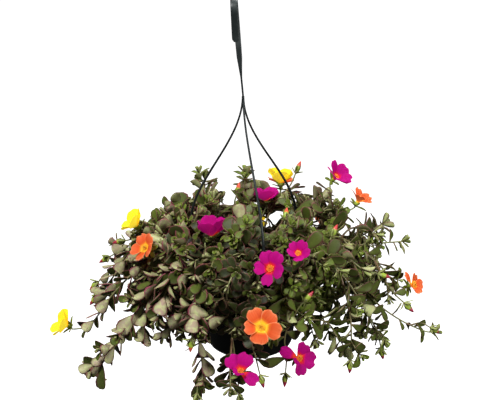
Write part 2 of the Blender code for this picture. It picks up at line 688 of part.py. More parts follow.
def soil():
    """Filling of the pot, 0.3 mm inside its wall, with a plain hole for each stem."""
    bottom = FLOOR - POT_HEIGHT + GAP
    foot = FOOT_HEIGHT - POT_HEIGHT
    slope = (WALL_TOP_RADIUS - FOOT_RADIUS) / (-BAND_HEIGHT - 2 * BAND_UNDERCUT - foot)
    inset = WALL + SOIL_GAP
    profile = [
        (0.0, -SOIL_DROP + SOIL_CROWN),
        (0.5 * RIM_RADIUS, -SOIL_DROP + 0.7 * SOIL_CROWN),
        (FOOT_RADIUS + slope * (-SOIL_DROP - foot) - inset, -SOIL_DROP),
        (FOOT_RADIUS - inset, foot),
        (BASE_RADIUS - WALL - SOIL_FOOT_INSET, bottom),
        (0.0, bottom),
    ]
    body = turned("soil", profile, SOIL_STEPS)
    holes = [cylinder("hole", polar(*stem.hole, -SOIL_DROP), HOLE_RADIUS, HOLE_RADIUS, 2 * HOLE_DEPTH,
                      HOLE_SIDES) for stem in STEMS]
    return one_body(boolean(body, holes, "DIFFERENCE"))


@dataclass(frozen=True)
class Blade:
    """A leaf, bract or petal: angle round its axis, size, lean from the axis, twist, droop and outline."""

    angle: float
    length: float
    width: float
    spread: float
    twist: float
    droop: float
    outline: tuple

    def rim(self, centre, across, up, extra=0.0):
        """Outline points from one side of the root round the tip to the other."""
        axis = np.cross(across, up)
        turn, lean, roll = math.radians(self.angle), math.radians(self.spread), math.radians(self.twist)
        outward = across * math.cos(turn) + up * math.sin(turn)
        along = axis * math.cos(lean) + outward * math.sin(lean)
        level = np.cross(axis, outward)
        face = np.cross(along, level)
        sideways = level * math.cos(roll) + face * math.sin(roll)
        side, middle = self.outline
        line = [(share, -half) for share, half in side] + [(middle, 0.0)]
        line += [(share, half) for share, half in reversed(side)]
        reach = self.length + extra
        half_width = (self.width + extra) / 2
        return [centre + along * share * reach + sideways * half * half_width
                - face * self.droop * self.length * share * share for share, half in line]

    def body(self, centre, across, up, rise, extra=0.0):
        """Closed wedge from two root points on the axis to the outline, as the whorl's blade fills it."""
        rim = self.rim(centre, across, up, extra)
        lift = np.cross(across, up) * (rise + extra)
        count = len(rim)
        faces = [(0, count + 1, count), (count - 1, count, count + 1)]
        for number in range(count - 1):
            faces.append((number, number + 1, count))
            faces.append((number + 1, number, count + 1))
        return [*rim, centre + lift, centre - lift], faces


class Loft:
    """A closed body of rings along a path, from which whorls of blades are raised."""

    def __init__(self, sides):
        self.sides = sides
        self.points = []
        self.faces = []
        self.last = None

    def add_points(self, points):
        """Add points and give their numbers."""
        start = len(self.points)
        self.points.extend(points)
        return list(range(start, len(self.points)))

    def ring(self, centre, across, up, radius):
        """Add a plain ring and join it to the one before, or close the body's start with it."""
        turns = [2 * math.pi * number / self.sides for number in range(self.sides)]
        numbers = self.add_points([centre + (across * math.cos(turn) + up * math.sin(turn)) * radius
                                   for turn in turns])
        if self.last is None:
            self.faces.append(tuple(reversed(numbers)))
        else:
            for index in range(self.sides):
                following = (index + 1) % self.sides
                self.faces.append((self.last[index], self.last[following], numbers[following],
                                   numbers[index]))
        self.last = numbers

    def whorl(self, centre, across, up, radius, rise, blades, notch=LEAF_NOTCH):
        """Raise blades between a ring below and a ring above the centre, cut alike on both faces."""
        axis = np.cross(across, up)
        self.ring(centre - axis * rise, across, up, radius)
        below = self.last
        outline = []
        for number, blade in enumerate(blades):
            rim = blade.rim(centre, across, up)
            half = 0.5 * min(ROOT_ARC, ROOT_ARCS / len(blades))
            for place, point in enumerate(rim):
                outline.append(((blade.angle - half + 2 * half * place / (len(rim) - 1)) % 360.0, point))
            gap = (blades[(number + 1) % len(blades)].angle - blade.angle) % 360.0 or 360.0
            notches = max(1, round(gap / NOTCH_ARC) - 1)
            for step in range(notches):
                key = (blade.angle + half + (gap - 2 * half) * (step + 1) / (notches + 1)) % 360.0
                turn = math.radians(key)
                outward = across * math.cos(turn) + up * math.sin(turn)
                outline.append((key, centre + outward * radius * notch))
        outline.sort(key=lambda entry: entry[0])
        star = self.add_points([point for _, point in outline])
        self.last = None
        ring = self.add_points([self.points[index] + axis * 2 * rise for index in below])
        star_keys = [key for key, _ in outline] + [360.0 + outline[0][0]]
        plain = place = 0
        while plain < self.sides or place < len(star):
            first, second = plain % self.sides, (plain + 1) % self.sides
            third, fourth = place % len(star), (place + 1) % len(star)
            switch = 360.0 * (plain + 0.5) / self.sides
            if place == len(star) or (plain < self.sides and switch < star_keys[place + 1]):
                self.faces.append((below[first], below[second], star[third]))
                self.faces.append((ring[second], ring[first], star[third]))
                plain += 1
            else:
                self.faces.append((below[first], star[fourth], star[third]))
                self.faces.append((ring[first], star[third], star[fourth]))
                place += 1
        self.last = ring

    def close(self, apex=None):
        """Close the body's end with a flat face or a point."""
        if apex is None:
            self.faces.append(tuple(self.last))
            return
        (tip,) = self.add_points([apex])
        for index in range(self.sides):
            self.faces.append((self.last[index], self.last[(index + 1) % self.sides], tip))

    def make(self, name):
        """Object of the body."""
        return mesh_object(name, self.points, self.faces)


class Garden:
    """Everything that stands in the way of a new leaf, each shape under a label."""

    def __init__(self):
        self.shapes = []

    def add(self, label, points, faces):
        """Remember a closed shape."""
        points = np.asarray(points)
        tree = BVHTree.FromPolygons([tuple(point) for point in points], faces)
        self.shapes.append((label, points.min(axis=0), points.max(axis=0), tree))

    def add_object(self, label, item):
        """Remember an object."""
        self.add(label, *object_shape(item))

    def blockers(self, points, faces, spared=()):
        """Labels of the shapes that a shape meets, apart from labels that start with a spared one."""
        points = np.asarray(points)
        low, high = points.min(axis=0), points.max(axis=0)
        tree = BVHTree.FromPolygons([tuple(point) for point in points], faces)
        return [label for label, bottom, top, shape in self.shapes
                if (low < top).all() and (high > bottom).all()
                and not label.startswith(tuple(spared)) and shape.overlap(tree)]


def bloom_frame(bloom):
    """Seat of a bloom, its facing, and two vectors square to it, turned by the bloom's number."""
    axis = direction(*bloom.facing)
    across, up = frame_about(axis, np.array((0.0, 0.0, 1.0)))
    turn = math.radians(BLOOM_TURN * wobble(bloom.number) % (360.0 / PETAL_COUNT))
    return (polar(*bloom.seat), axis, across * math.cos(turn) + up * math.sin(turn),
            up * math.cos(turn) - across * math.sin(turn))


def petals(bloom):
    """Five notched petals raised from a small hub, each turned a little like a pinwheel's."""
    seat, axis, across, up = bloom_frame(bloom)
    reach = bloom.radius / max(math.cos(math.radians(bloom.rise)), LEAST_FLARE)
    blades = [Blade(360.0 / PETAL_COUNT * number, reach, PETAL_WIDTH * bloom.radius, 90.0 - bloom.rise,
                    PETAL_TWIST, PETAL_DROOP, PETAL_OUTLINE) for number in range(PETAL_COUNT)]
    loft = Loft(PETAL_COUNT)
    middle = seat + axis * (GAP + HUB_THICK / 2)
    loft.whorl(middle, across, up, HUB_RADIUS, HUB_THICK / 2, blades, PETAL_NOTCH)
    loft.close()
    return loft.make(f"bloom_{bloom.number:02d}_petals")


def stamens(bloom):
    """Crown of stamens round the style, as one fluted cup that stands on the hub."""
    seat, axis, across, up = bloom_frame(bloom)
    base = seat + axis * (2 * GAP + HUB_THICK)
    reach = STAMEN_REACH * min(1.0, bloom.radius / FULL_BLOOM)
    count = 2 * STAMEN_COUNT
    low, high = [], []
    for number in range(count):
        turn = 2 * math.pi * number / count
        outward = across * math.cos(turn) + up * math.sin(turn)
        spread, lift = STAMEN_RIDGE if number % 2 == 0 else STAMEN_HOLLOW
        low.append(base + outward * STAMEN_FOOT)
        high.append(base + outward * reach * spread + axis * STAMEN_HEIGHT * lift)
    points = low + high + [base + axis * STAMEN_HEIGHT]
    faces = [tuple(reversed(range(count)))]
    for number in range(count):
        following = (number + 1) % count
        faces.append((number, following, count + following, count + number))
        faces.append((count + number, count + following, 2 * count))
    return mesh_object(f"bloom_{bloom.number:02d}_centre", points, faces)


def path_runs(path):
    """Distance along a path at each of its points."""
    return np.concatenate(([0.0], np.cumsum(np.linalg.norm(np.diff(path, axis=0), axis=1))))


def branch_paths(stem):
    """Path of every branch of a stem, the first from its hole in the soil, the others from their forks."""
    paths = []
    for number, branch in enumerate(stem.branches):
        way = [polar(*point) for point in branch.way]
        if number == 0:
            start = [polar(*stem.hole, SOIL_CROWN - SOIL_DROP + ROOT_LIFT), polar(*stem.hole, ROOT_TOP)]
        else:
            run = path_runs(paths[0])
            fork = branch.fork * run[-1]
            start = [np.array([np.interp(fork, run, paths[0][:, axis]) for axis in range(3)])]
        if branch.end in BLOOM_ENDS:
            bloom = BLOOM_ENDS[branch.end]
            seat, axis = polar(*bloom.seat), direction(*bloom.facing)
            way += [seat - axis * STALK_STRAIGHT, seat]
        path = smooth_path(start + way)
        if number == 0:
            path = np.vstack((polar(*stem.hole, -SOIL_DROP - HOLE_DEPTH + GAP), path))
        paths.append(path)
    return paths


def path_frames(path):
    """Tangent, across and up vectors at each point of a path, carried along it without twist."""
    tangents = np.gradient(path, axis=0)
    tangents /= np.linalg.norm(tangents, axis=1)[:, None]
    frames = []
    hint = np.array((path[-1][0], path[-1][1], TURN_OUT))
    for tangent in tangents:
        across, up = frame_about(tangent, hint)
        frames.append((tangent, across, up))
        hint = up
    return frames


def at(path, frames, run, distance):
    """Point and frame of a path at a distance from its start."""
    place = np.interp(distance, run, np.arange(len(path)))
    below = min(int(place), len(path) - 2)
    part = place - below
    point = path[below] * (1 - part) + path[below + 1] * part
    tangent = unit(frames[below][0] * (1 - part) + frames[below + 1][0] * part)
    across, up = frame_about(tangent, frames[below][2] * (1 - part) + frames[below + 1][2] * part)
    return point, across, up


def sky_angle(point, across, up):
    """Angle in a frame of the way out of the mound, up and away from its heart."""
    outward = unit(unit(point - np.array(MOUND_HEART)) + (0.0, 0.0, SKY_PULL))
    return math.degrees(math.atan2(np.dot(outward, up), np.dot(outward, across)))


def whorl_blades(garden, stem, number, place, frame, rise, wanted):
    """The wanted blades that clear all other shapes, each turned aside a little where that helps."""
    kept = []
    near = int(place / PATH_STEP) // GUARD_POINTS
    own = [f"{stem.name}/{number}/tube/{piece:03d}" for piece in (near - 1, near, near + 1) if piece >= 0]
    for blade in wanted:
        for turn in LEAF_ASIDE:
            tried = replace(blade, angle=(blade.angle + turn) % 360.0)
            if any(abs((tried.angle - other.angle + 180.0) % 360.0 - 180.0) < LEAST_ANGLE for other in kept):
                continue
            if not garden.blockers(*tried.body(*frame, rise, CLEARANCE), own):
                kept.append(tried)
                break
    for blade in kept:
        garden.add(f"{stem.name}/{number}/blade", *blade.body(*frame, rise))
    return sorted(kept, key=lambda blade: blade.angle)


def leaf_stations(branch, length, forks):
    """Distances along a branch at which its whorls stand, clear of its forks."""
    stations = []
    start = max(branch.bare * length, LEAST_BARE)
    end = length - (LEAST_BARE if branch.end == "leaves" else STALK_BARE)
    for number in range(branch.whorls):
        place = start + (end - start) * (number + 0.5) / branch.whorls
        for fork in forks:
            if abs(place - fork) < FORK_CLEAR:
                place = fork + math.copysign(FORK_CLEAR, place - fork)
        stations.append(place)
    return stations


def ring_places(run, frames, stations, end):
    """Distances at which plain rings stand: where the path has turned or run on enough, clear of whorls."""
    kept, last = [0.0, run[1]], 1
    for number in range(2, len(run)):
        turned = math.degrees(math.acos(min(1.0, float(np.dot(frames[number][0], frames[last][0])))))
        if turned < RING_TURN and run[number] - run[last] < RING_RUN:
            continue
        last = number
        kept.append(run[number])
    return [place for place in kept if place < end - WHORL_CLEAR
            and all(abs(place - station) > WHORL_CLEAR for station in stations)]


def whorl_wanted(branch, counter, sky):
    """Blades of a leaf whorl, three and two by turns, turned round the branch and twisted to the light."""
    leaves = 3 if counter % 2 else 2
    size = 1.0 + LEAF_RANGE * wobble(counter)
    wanted = []
    for leaf in range(leaves):
        offset = 360.0 / leaves * leaf + (90.0 if leaves == 2 else 0.0) + LEAF_TURN * wobble(2 * counter)
        wanted.append(Blade(
            angle=(sky + offset) % 360.0, length=LEAF_LENGTH * size * (1.0 - LEAF_STEP * leaf),
            width=LEAF_WIDTH * size, spread=LEAF_SPREAD + LEAF_SPREAD_RANGE * wobble(3 * counter + leaf),
            twist=-LEAF_TWIST * math.sin(math.radians(offset)), droop=LEAF_DROOP, outline=LEAF_OUTLINE))
    return wanted


def tip_wanted(branch, counter):
    """Blades of the whorl at a branch's end: small leaves, or bracts under a bud or a bloom."""
    if branch.end == "leaves":
        count = TIP_LEAF_COUNT
        blade = Blade(0.0, LEAF_LENGTH * TIP_LEAF, LEAF_WIDTH * TIP_LEAF, TIP_LEAF_SPREAD, 0.0, LEAF_DROOP,
                      TIP_OUTLINE)
    else:
        count = BRACT_COUNT
        spread = BUD_BRACT_SPREAD if branch.end == "bud" else BLOOM_BRACT_SPREAD
        blade = Blade(0.0, BRACT_LENGTH, BRACT_WIDTH, spread, 0.0, BRACT_DROOP, BRACT_OUTLINE)
    start = TIP_TURN * wobble(counter)
    return [replace(blade, angle=(360.0 / count * number + start) % 360.0) for number in range(count)]


def branch_body(stem, number, path, forks, garden, counter):
    """One branch with its whorls of leaves and its end, as one closed loft."""
    branch = stem.branches[number]
    frames, run = path_frames(path), path_runs(path)
    length = run[-1]
    thick = ROOT_RADIUS if number == 0 else FORK_RADIUS
    stations = leaf_stations(branch, length, forks)
    tip = length - TIP_SEAT
    loft = Loft(STEM_SIDES)
    for place in sorted(ring_places(run, frames, stations, tip) + stations):
        point, across, up = at(path, frames, run, place)
        radius = thick + (TIP_RADIUS - thick) * place / length
        blades = []
        if place in stations:
            counter += 1
            wanted = whorl_wanted(branch, counter, sky_angle(point, across, up))
            blades = whorl_blades(garden, stem, number, place, (point, across, up), WHORL_HALF, wanted)
        if blades:
            loft.whorl(point, across, up, radius, WHORL_HALF, blades)
        else:
            loft.ring(point, across, up, radius)
    frame = at(path, frames, run, tip)
    blades = whorl_blades(garden, stem, number, tip, frame, TIP_HALF, tip_wanted(branch, counter))
    if blades:
        loft.whorl(*frame, TIP_RADIUS * TIP_SWELL, TIP_HALF, blades)
    end, across, up = at(path, frames, run, length)
    axis = np.cross(across, up)
    if branch.end in BLOOM_ENDS:
        axis = direction(*BLOOM_ENDS[branch.end].facing)
        across, up = frame_about(axis, up)
    if branch.end == "leaves":
        loft.close(end + axis * TIP_HALF)
    elif branch.end == "bud":
        loft.ring(end, across, up, BUD_RADIUS)
        loft.ring(end + axis * 0.5 * BUD_LENGTH, across, up, BUD_TAPER * BUD_RADIUS)
        loft.close(end + axis * BUD_LENGTH)
    else:
        loft.ring(end, across, up, CALYX_RADIUS)
        loft.close()
    return loft.make(f"{stem.name}_branch"), counter


def guard_branch(garden, stem, number, path):
    """Keep leaves off a branch and its bud, in short lengths of tube."""
    radius = (ROOT_RADIUS if number == 0 else FORK_RADIUS) + GAP / 2
    pieces = [(path[start:start + GUARD_POINTS + 1], radius)
              for start in range(0, len(path) - 2, GUARD_POINTS)]
    if stem.branches[number].end == "bud":
        along = unit(path[-1] - path[-2])
        pieces.append(([path[-1], path[-1] + along * BUD_LENGTH], BUD_RADIUS))
    for piece, (line, thick) in enumerate(pieces):
        guard = tube("guard", line, [thick] * len(line), 1)
        garden.add_object(f"{stem.name}/{number}/tube/{piece:03d}", guard)
        bpy.data.objects.remove(guard)


def plant(garden):
    """All leafy stems, grown one after another among the shapes that already stand."""
    skeleton = {stem.name: branch_paths(stem) for stem in STEMS}
    for stem in STEMS:
        for number, path in enumerate(skeleton[stem.name]):
            guard_branch(garden, stem, number, path)
    counter = 0
    stems = []
    for stem in STEMS:
        paths = skeleton[stem.name]
        main_length = path_runs(paths[0])[-1]
        bodies = []
        for number, path in enumerate(paths):
            forks = [branch.fork * main_length for branch in stem.branches[1:]] if number == 0 else []
            body, counter = branch_body(stem, number, path, forks, garden, counter)
            bodies.append(body)
        bodies[0].name = stem.name
        stems.append(one_body(boolean(bodies[0], bodies[1:], "UNION")))
    return stems


def build():
    """Model the whole basket, link its parts to their collection and hang them under the hook."""
    clear_scene()
    parts = [(pot(), "black_plastic"), (hanger(), "hanger_plastic"), (soil(), "soil")]
    for bloom in BLOOMS:
        parts.append((petals(bloom), f"petals_{bloom.colour}"))
        parts.append((stamens(bloom), "stamens"))
    garden = Garden()
    for item, _ in parts:
        garden.add_object(item.name, item)
    parts.extend((stem, "foliage") for stem in plant(garden))

    materials = {name: make_material(name, *finish) for name, finish in FINISHES.items()}
    home = bpy.data.collections.new("portulaca_hanging_basket")
    bpy.context.scene.collection.children.link(home)
    place = bpy.data.objects.new("rim_centre", None)
    place.location = (AXIS_SHIFT, 0.0, -RIM_DROP)
    home.objects.link(place)
    for item, finish in parts:
        item.data.materials.clear()
        item.data.materials.append(materials[finish])
        bpy.context.scene.collection.objects.unlink(item)
        home.objects.link(item)
        item.parent = place


build()
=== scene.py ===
"""Dressed model of a hanging basket of portulaca.

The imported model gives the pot, the hanger, the soil, the stems and the blooms as plain solids. Finer pieces
stand in their places here: turned and swept plastic, crumbled soil, rooted shoots with fleshy leaves and
buds, notched petals and crowns of stamens. Younger shoots fill the mound between them.

Shapes are worked out about the pot's axis, with the top of its rim at zero height, and are carried to their
place under the hook as they go into their meshes. Metres, +Z up, -Y to the front.
"""

import logging
import math
from collections.abc import Iterator, Sequence
from dataclasses import dataclass, field, replace
from enum import Enum
from typing import Any

import bpy
import numpy as np
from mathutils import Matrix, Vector


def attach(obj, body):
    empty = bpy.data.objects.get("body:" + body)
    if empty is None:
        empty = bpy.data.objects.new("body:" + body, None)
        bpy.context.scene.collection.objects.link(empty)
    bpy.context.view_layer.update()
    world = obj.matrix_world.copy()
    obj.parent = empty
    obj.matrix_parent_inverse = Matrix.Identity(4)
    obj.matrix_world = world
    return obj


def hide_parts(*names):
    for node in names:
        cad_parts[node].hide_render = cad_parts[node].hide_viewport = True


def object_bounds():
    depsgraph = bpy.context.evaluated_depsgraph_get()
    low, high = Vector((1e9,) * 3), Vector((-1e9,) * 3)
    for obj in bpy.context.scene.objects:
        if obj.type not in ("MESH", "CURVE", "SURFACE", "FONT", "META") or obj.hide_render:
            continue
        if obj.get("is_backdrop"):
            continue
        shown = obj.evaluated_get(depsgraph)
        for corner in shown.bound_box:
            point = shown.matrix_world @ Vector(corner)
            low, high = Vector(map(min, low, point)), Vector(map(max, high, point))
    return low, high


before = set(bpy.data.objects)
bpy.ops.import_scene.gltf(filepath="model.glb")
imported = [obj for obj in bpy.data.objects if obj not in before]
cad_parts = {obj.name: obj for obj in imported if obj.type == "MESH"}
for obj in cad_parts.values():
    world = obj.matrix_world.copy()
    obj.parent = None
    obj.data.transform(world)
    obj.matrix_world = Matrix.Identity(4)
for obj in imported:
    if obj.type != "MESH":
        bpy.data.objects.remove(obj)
CAD_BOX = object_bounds()

Array = np.ndarray
Colour = tuple[float, float, float]
Point = tuple[float, float, float]
Pair = tuple[float, float]
Pairs = tuple[Pair, ...]
Frame = tuple[Array, Array, Array, Array]
Material = bpy.types.Material

log = logging.getLogger("basket")

# Place of the pot under the hook
RIM_DROP = 0.323
AXIS_SHIFT = 0.019
POT_PLACE = np.array((AXIS_SHIFT, 0.0, -RIM_DROP))

# Turn from one leaf of a shoot to the next, in degrees, and the golden share of a whole turn
LEAF_TURN = 137.5
GOLDEN = 0.618034

# Middle of the mound, from which leaves turn outwards, how far they turn up as well, and how far those
# before a depth turn to the front, where the light came from as they grew
MOUND_HEART = np.array((0.0, 0.0, -0.06))
SKY_PULL = 0.5
FRONT_PULL = 0.6
FRONT_DEPTH = 0.12


def unit(vectors: Array) -> Array:
    """Vectors at length one."""
    return vectors / np.linalg.norm(vectors, axis=-1, keepdims=True)


def polar(azimuth: float, reach: float, rise: float) -> Array:
    """Point at an azimuth in degrees, a distance from the pot's axis and a height over the rim."""
    angle = math.radians(azimuth)
    return np.array((reach * math.cos(angle), reach * math.sin(angle), rise))


def spot(azimuth: float, reach: float, rise: float) -> Array:
    """Point at an azimuth in degrees, a distance and a height in millimetres."""
    return polar(azimuth, reach / 1000, rise / 1000)


def direction(azimuth: float, elevation: float) -> Array:
    """Unit vector at an azimuth and an elevation in degrees."""
    turn, lift = math.radians(azimuth), math.radians(elevation)
    return np.array((math.cos(lift) * math.cos(turn), math.cos(lift) * math.sin(turn), math.sin(lift)))


# Way from the basket to the camera
VIEWER = direction(270.0, 21.0)


def circle(count: int) -> Array:
    """Angles of so many even steps round a circle, in radians."""
    return 2 * np.pi * np.arange(count) / count


def leant(first: Array, second: Array, degrees: float) -> Array:
    """Vector leant from a first towards a second: cosine times the first plus sine times the second."""
    angle = math.radians(degrees)
    return first * math.cos(angle) + second * math.sin(angle)


def spokes(first: Array, second: Array, angles: Array) -> Array:
    """Vectors leant from a first towards a second by each of the angles, in radians."""
    return first * np.cos(angles)[..., None] + second * np.sin(angles)[..., None]


def wobble(number: float) -> float:
    """Evenly spread value from -1 to 1 for a number, by steps of the golden ratio."""
    return 2.0 * ((number * GOLDEN) % 1.0) - 1.0


def smooth_step(values: Array, low: float, high: float) -> Array:
    """Values eased from 0 at low to 1 at high, as x squared times (3 - 2 x)."""
    share = np.clip((values - low) / (high - low), 0.0, 1.0)
    return share * share * (3.0 - 2.0 * share)


def square_frame(axis: Array, hint: Array) -> tuple[Array, Array]:
    """Across and up vectors square to an axis.

    Args:
        axis: Unit vector that across and up are square to.
        hint: Vector that up is as near to as it can be.

    Returns:
        Across and up, with across x up = axis.
    """
    up = hint - axis * np.dot(hint, axis)
    if np.linalg.norm(up) < 1e-6:
        up = np.cross(axis, (1.0, 0.0, 0.0))
    up = unit(up)
    return np.cross(up, axis), up


# Meshes


def wall_faces(rings: int, around: int) -> Array:
    """Quads of a tube's wall.

    Args:
        rings: Number of rings.
        around: Points on a ring.

    Returns:
        Corners of the quads, four to a row, facing outwards where across x up = axis.
    """
    ring = np.arange(around)
    after = (ring + 1) % around
    low = np.arange(rings - 1)[:, None] * around
    high = low + around
    return np.stack((low + ring, low + after, high + after, high + ring), axis=-1).reshape(-1, 4)


def plug_faces(rings: int, around: int) -> list[Array]:
    """Faces of a tube closed by one flat face at each end."""
    ring = np.arange(around)
    return [wall_faces(rings, around), ring[None, ::-1], (ring + (rings - 1) * around)[None]]


def pod_faces(rings: int, around: int) -> list[Array]:
    """Faces of a tube closed by one flat face at its root and by a fan to a last point at its tip.

    Args:
        rings: Number of rings.
        around: Points on a ring.

    Returns:
        Corners of the faces, as arrays of equal faces.
    """
    ring, last = np.arange(around), (rings - 1) * around
    fan = np.stack((last + ring, last + (ring + 1) % around, np.full(around, rings * around)), axis=-1)
    return [wall_faces(rings, around), fan, ring[None, ::-1]]


def sheet_faces(rings: int, around: int) -> list[Array]:
    """Faces of a flattened tube whose two ends are closed straight across by strips of quads.

    Args:
        rings: Number of rings.
        around: Points on a ring, an even one.

    Returns:
        Corners of the faces, as arrays of equal faces.
    """
    left = np.arange(1, around // 2 - 1)
    first = [np.stack((left, left + 1, around - left - 1, around - left), axis=-1)[:, ::-1],
             np.array(((around - 1, 1, 0), (around // 2, around // 2 - 1, around // 2 + 1)))]
    last = (rings - 1) * around
    return [wall_faces(rings, around), *first, *(part[:, ::-1] + last for part in first)]


def ring_faces(rings: int, around: int) -> list[Array]:
    """Faces of a tube whose last ring joins its first, as a tyre's do."""
    joined = wall_faces(rings + 1, around)
    return [np.where(joined >= rings * around, joined - rings * around, joined)]


def by_ring(values: Array, around: int, tip: float = 1.0) -> Array:
    """Values of a pod's rings at each of its points, and a value at its tip."""
    return np.append(np.repeat(values, around), tip)[None]


def add_object(name: str, data: bpy.types.ID) -> bpy.types.Object:
    """Put a mesh, a lamp or a camera into the scene.

    Args:
        name: Name of the object.
        data: What it holds.

    Returns:
        The new object.
    """
    item = bpy.data.objects.new(name, data)
    bpy.context.scene.collection.objects.link(item)
    return item


@dataclass
class Shape:
    """One surface in the making: its points, faces, finishes and values by name, as whole arrays."""

    names: tuple[str, ...] = ("along", "side", "tone", "blush", "young")
    points: list[Array] = field(default_factory=list)
    corners: list[Array] = field(default_factory=list)
    sizes: list[Array] = field(default_factory=list)
    finishes: list[Array] = field(default_factory=list)
    values: dict[str, list[Array]] = field(default_factory=dict)
    count: int = 0

    def add(self, points: Array, faces: Sequence[Array], finish: int = 0, **values: Any) -> None:
        """Add one body, or many alike.

        Args:
            points: Points of the bodies, as (bodies, points, 3).
            faces: Corners of one body's faces, as arrays of equal faces.
            finish: Number of the finish in the slots.
            values: Value by name at each point, of a shape that spreads to (bodies, points).
        """
        copies, stride = points.shape[:2]
        starts = self.count + np.arange(copies)[:, None, None] * stride
        for part in faces:
            self.corners.append((part[None] + starts).ravel())
            self.sizes.append(np.full(copies * len(part), part.shape[1]))
            self.finishes.append(np.full(copies * len(part), finish))
        self.points.append(points.reshape(-1, 3))
        for name in self.names:
            given = np.broadcast_to(np.asarray(values.get(name, 0.0), float), (copies, stride))
            self.values.setdefault(name, []).append(given.ravel())
        self.count += copies * stride

    def add_plug(self, rings: Array) -> None:
        """Add a tube closed flat at both ends, of rings as (rings, around, 3)."""
        self.add(rings.reshape(1, -1, 3), plug_faces(*rings.shape[:2]))

    def add_pods(self, rings: Array, tips: Array, finish: int = 0, **values: Any) -> None:
        """Add tubes closed flat at their roots and by a fan at their tips.

        Args:
            rings: Their rings, as (bodies, rings, around, 3) or, for one, (rings, around, 3).
            tips: A tip for each.
            finish: Number of the finish in the slots.
            values: Values at the points, by name.
        """
        rings = rings.reshape(-1, *rings.shape[-3:])
        bodies, count, around = rings.shape[:3]
        points = np.concatenate((rings.reshape(bodies, -1, 3), tips.reshape(bodies, 1, 3)), axis=1)
        self.add(points, pod_faces(count, around), finish, **values)

    def mesh(self, name: str) -> bpy.types.Mesh:
        """Put the surface into a mesh, carried to the pot's place under the hook.

        Args:
            name: Name of the mesh.

        Returns:
            The new mesh.
        """
        mesh = bpy.data.meshes.new(name)
        points = np.concatenate(self.points) + POT_PLACE
        corners, sizes = np.concatenate(self.corners), np.concatenate(self.sizes)
        mesh.vertices.add(len(points))
        mesh.vertices.foreach_set("co", points.astype(np.float32).ravel())
        mesh.loops.add(len(corners))
        mesh.loops.foreach_set("vertex_index", corners.astype(np.int32))
        mesh.polygons.add(len(sizes))
        mesh.polygons.foreach_set("loop_start", (np.cumsum(sizes) - sizes).astype(np.int32))
        mesh.polygons.foreach_set("material_index", np.concatenate(self.finishes).astype(np.int32))
        mesh.update(calc_edges=True)
        for key, given in self.values.items():
            data = mesh.attributes.new(key, "FLOAT", "POINT").data
            data.foreach_set("value", np.concatenate(given).astype(np.float32))
        mesh.shade_smooth()
        return mesh

    def make(self, name: str, materials: Sequence[Material], slot: str,
             replaces: Sequence[str] = (), sharp: float = 0.0) -> bpy.types.Object:
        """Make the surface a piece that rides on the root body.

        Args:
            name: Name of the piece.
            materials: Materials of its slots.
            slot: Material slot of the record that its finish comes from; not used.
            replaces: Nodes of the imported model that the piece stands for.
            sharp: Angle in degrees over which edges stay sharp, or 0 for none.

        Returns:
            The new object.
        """
        mesh = self.mesh(name)
        if sharp:
            mesh.set_sharp_from_angle(angle=math.radians(sharp))
        for material in materials:
            mesh.materials.append(material)
        item = add_object(name, mesh)
        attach(item, "root")
        if replaces:
            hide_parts(*replaces)
        log.info("%s: %d faces", name, len(mesh.polygons))
        return item


class Path:
    """A smooth line through points, with across and up vectors carried along it without twist."""

    def __init__(self, points: Sequence[Array], step: float = 0.003) -> None:
        """Run a Catmull-Rom curve through the points and even its steps out.

        Args:
            points: Points that the line goes through.
            step: Length of a step of the line.
        """
        points = np.asarray(points, float)
        padded = np.vstack((2 * points[0] - points[1], points, 2 * points[-1] - points[-2]))
        share = np.linspace(0.0, 1.0, 12, endpoint=False)[:, None]
        dense = [0.5 * (2 * b + (c - a) * share + (2 * a - 5 * b + 4 * c - d) * share ** 2
                        + (3 * b - a - 3 * c + d) * share ** 3)
                 for a, b, c, d in zip(padded, padded[1:], padded[2:], padded[3:])]
        dense = np.vstack((*dense, points[-1:]))
        run = np.concatenate(([0.0], np.cumsum(np.linalg.norm(np.diff(dense, axis=0), axis=1))))
        self.run = np.linspace(0.0, run[-1], int(run[-1] / step) + 2)
        self.length = float(run[-1])
        self.points = np.column_stack([np.interp(self.run, run, dense[:, axis]) for axis in range(3)])
        self.axes = unit(np.gradient(self.points, axis=0))
        ups = [np.array((*self.points[-1][:2], 0.02))]
        for axis in self.axes:
            ups.append(square_frame(axis, ups[-1])[1])
        self.ups = np.array(ups[1:])

    def at(self, distances: Array | float) -> Frame:
        """Place and frame on the line, each between those of the two nearest steps.

        Args:
            distances: Distances from the start, or one.

        Returns:
            Points, axes, across and up vectors.
        """
        place = np.interp(distances, self.run, np.arange(len(self.run)))
        below = np.minimum(place.astype(int), len(self.run) - 2)
        part = (place - below)[..., None]
        points = self.points[below] * (1 - part) + self.points[below + 1] * part
        axes = unit(self.axes[below] * (1 - part) + self.axes[below + 1] * part)
        ups = self.ups[below] * (1 - part) + self.ups[below + 1] * part
        ups = unit(ups - axes * np.sum(ups * axes, axis=-1, keepdims=True))
        return points, axes, np.cross(ups, axes), ups


def tube_points(path: Array, across: Array, up: Array, radii: Array, around: int) -> Array:
    """Rings about a line: each point is the line's plus (cos a across + sin a up) times the radius there.

    Args:
        path: Points of the line, as (..., rings, 3).
        across: Across vectors, of a shape that spreads to the line's.
        up: Up vectors, likewise.
        radii: Radii, of a shape that spreads to (..., rings).
        around: Points on a ring.

    Returns:
        Points, as (..., rings, around, 3).
    """
    ring = spokes(across[..., None, :], up[..., None, :], circle(around))
    return path[..., None, :] + ring * radii[..., None, None]


# Materials


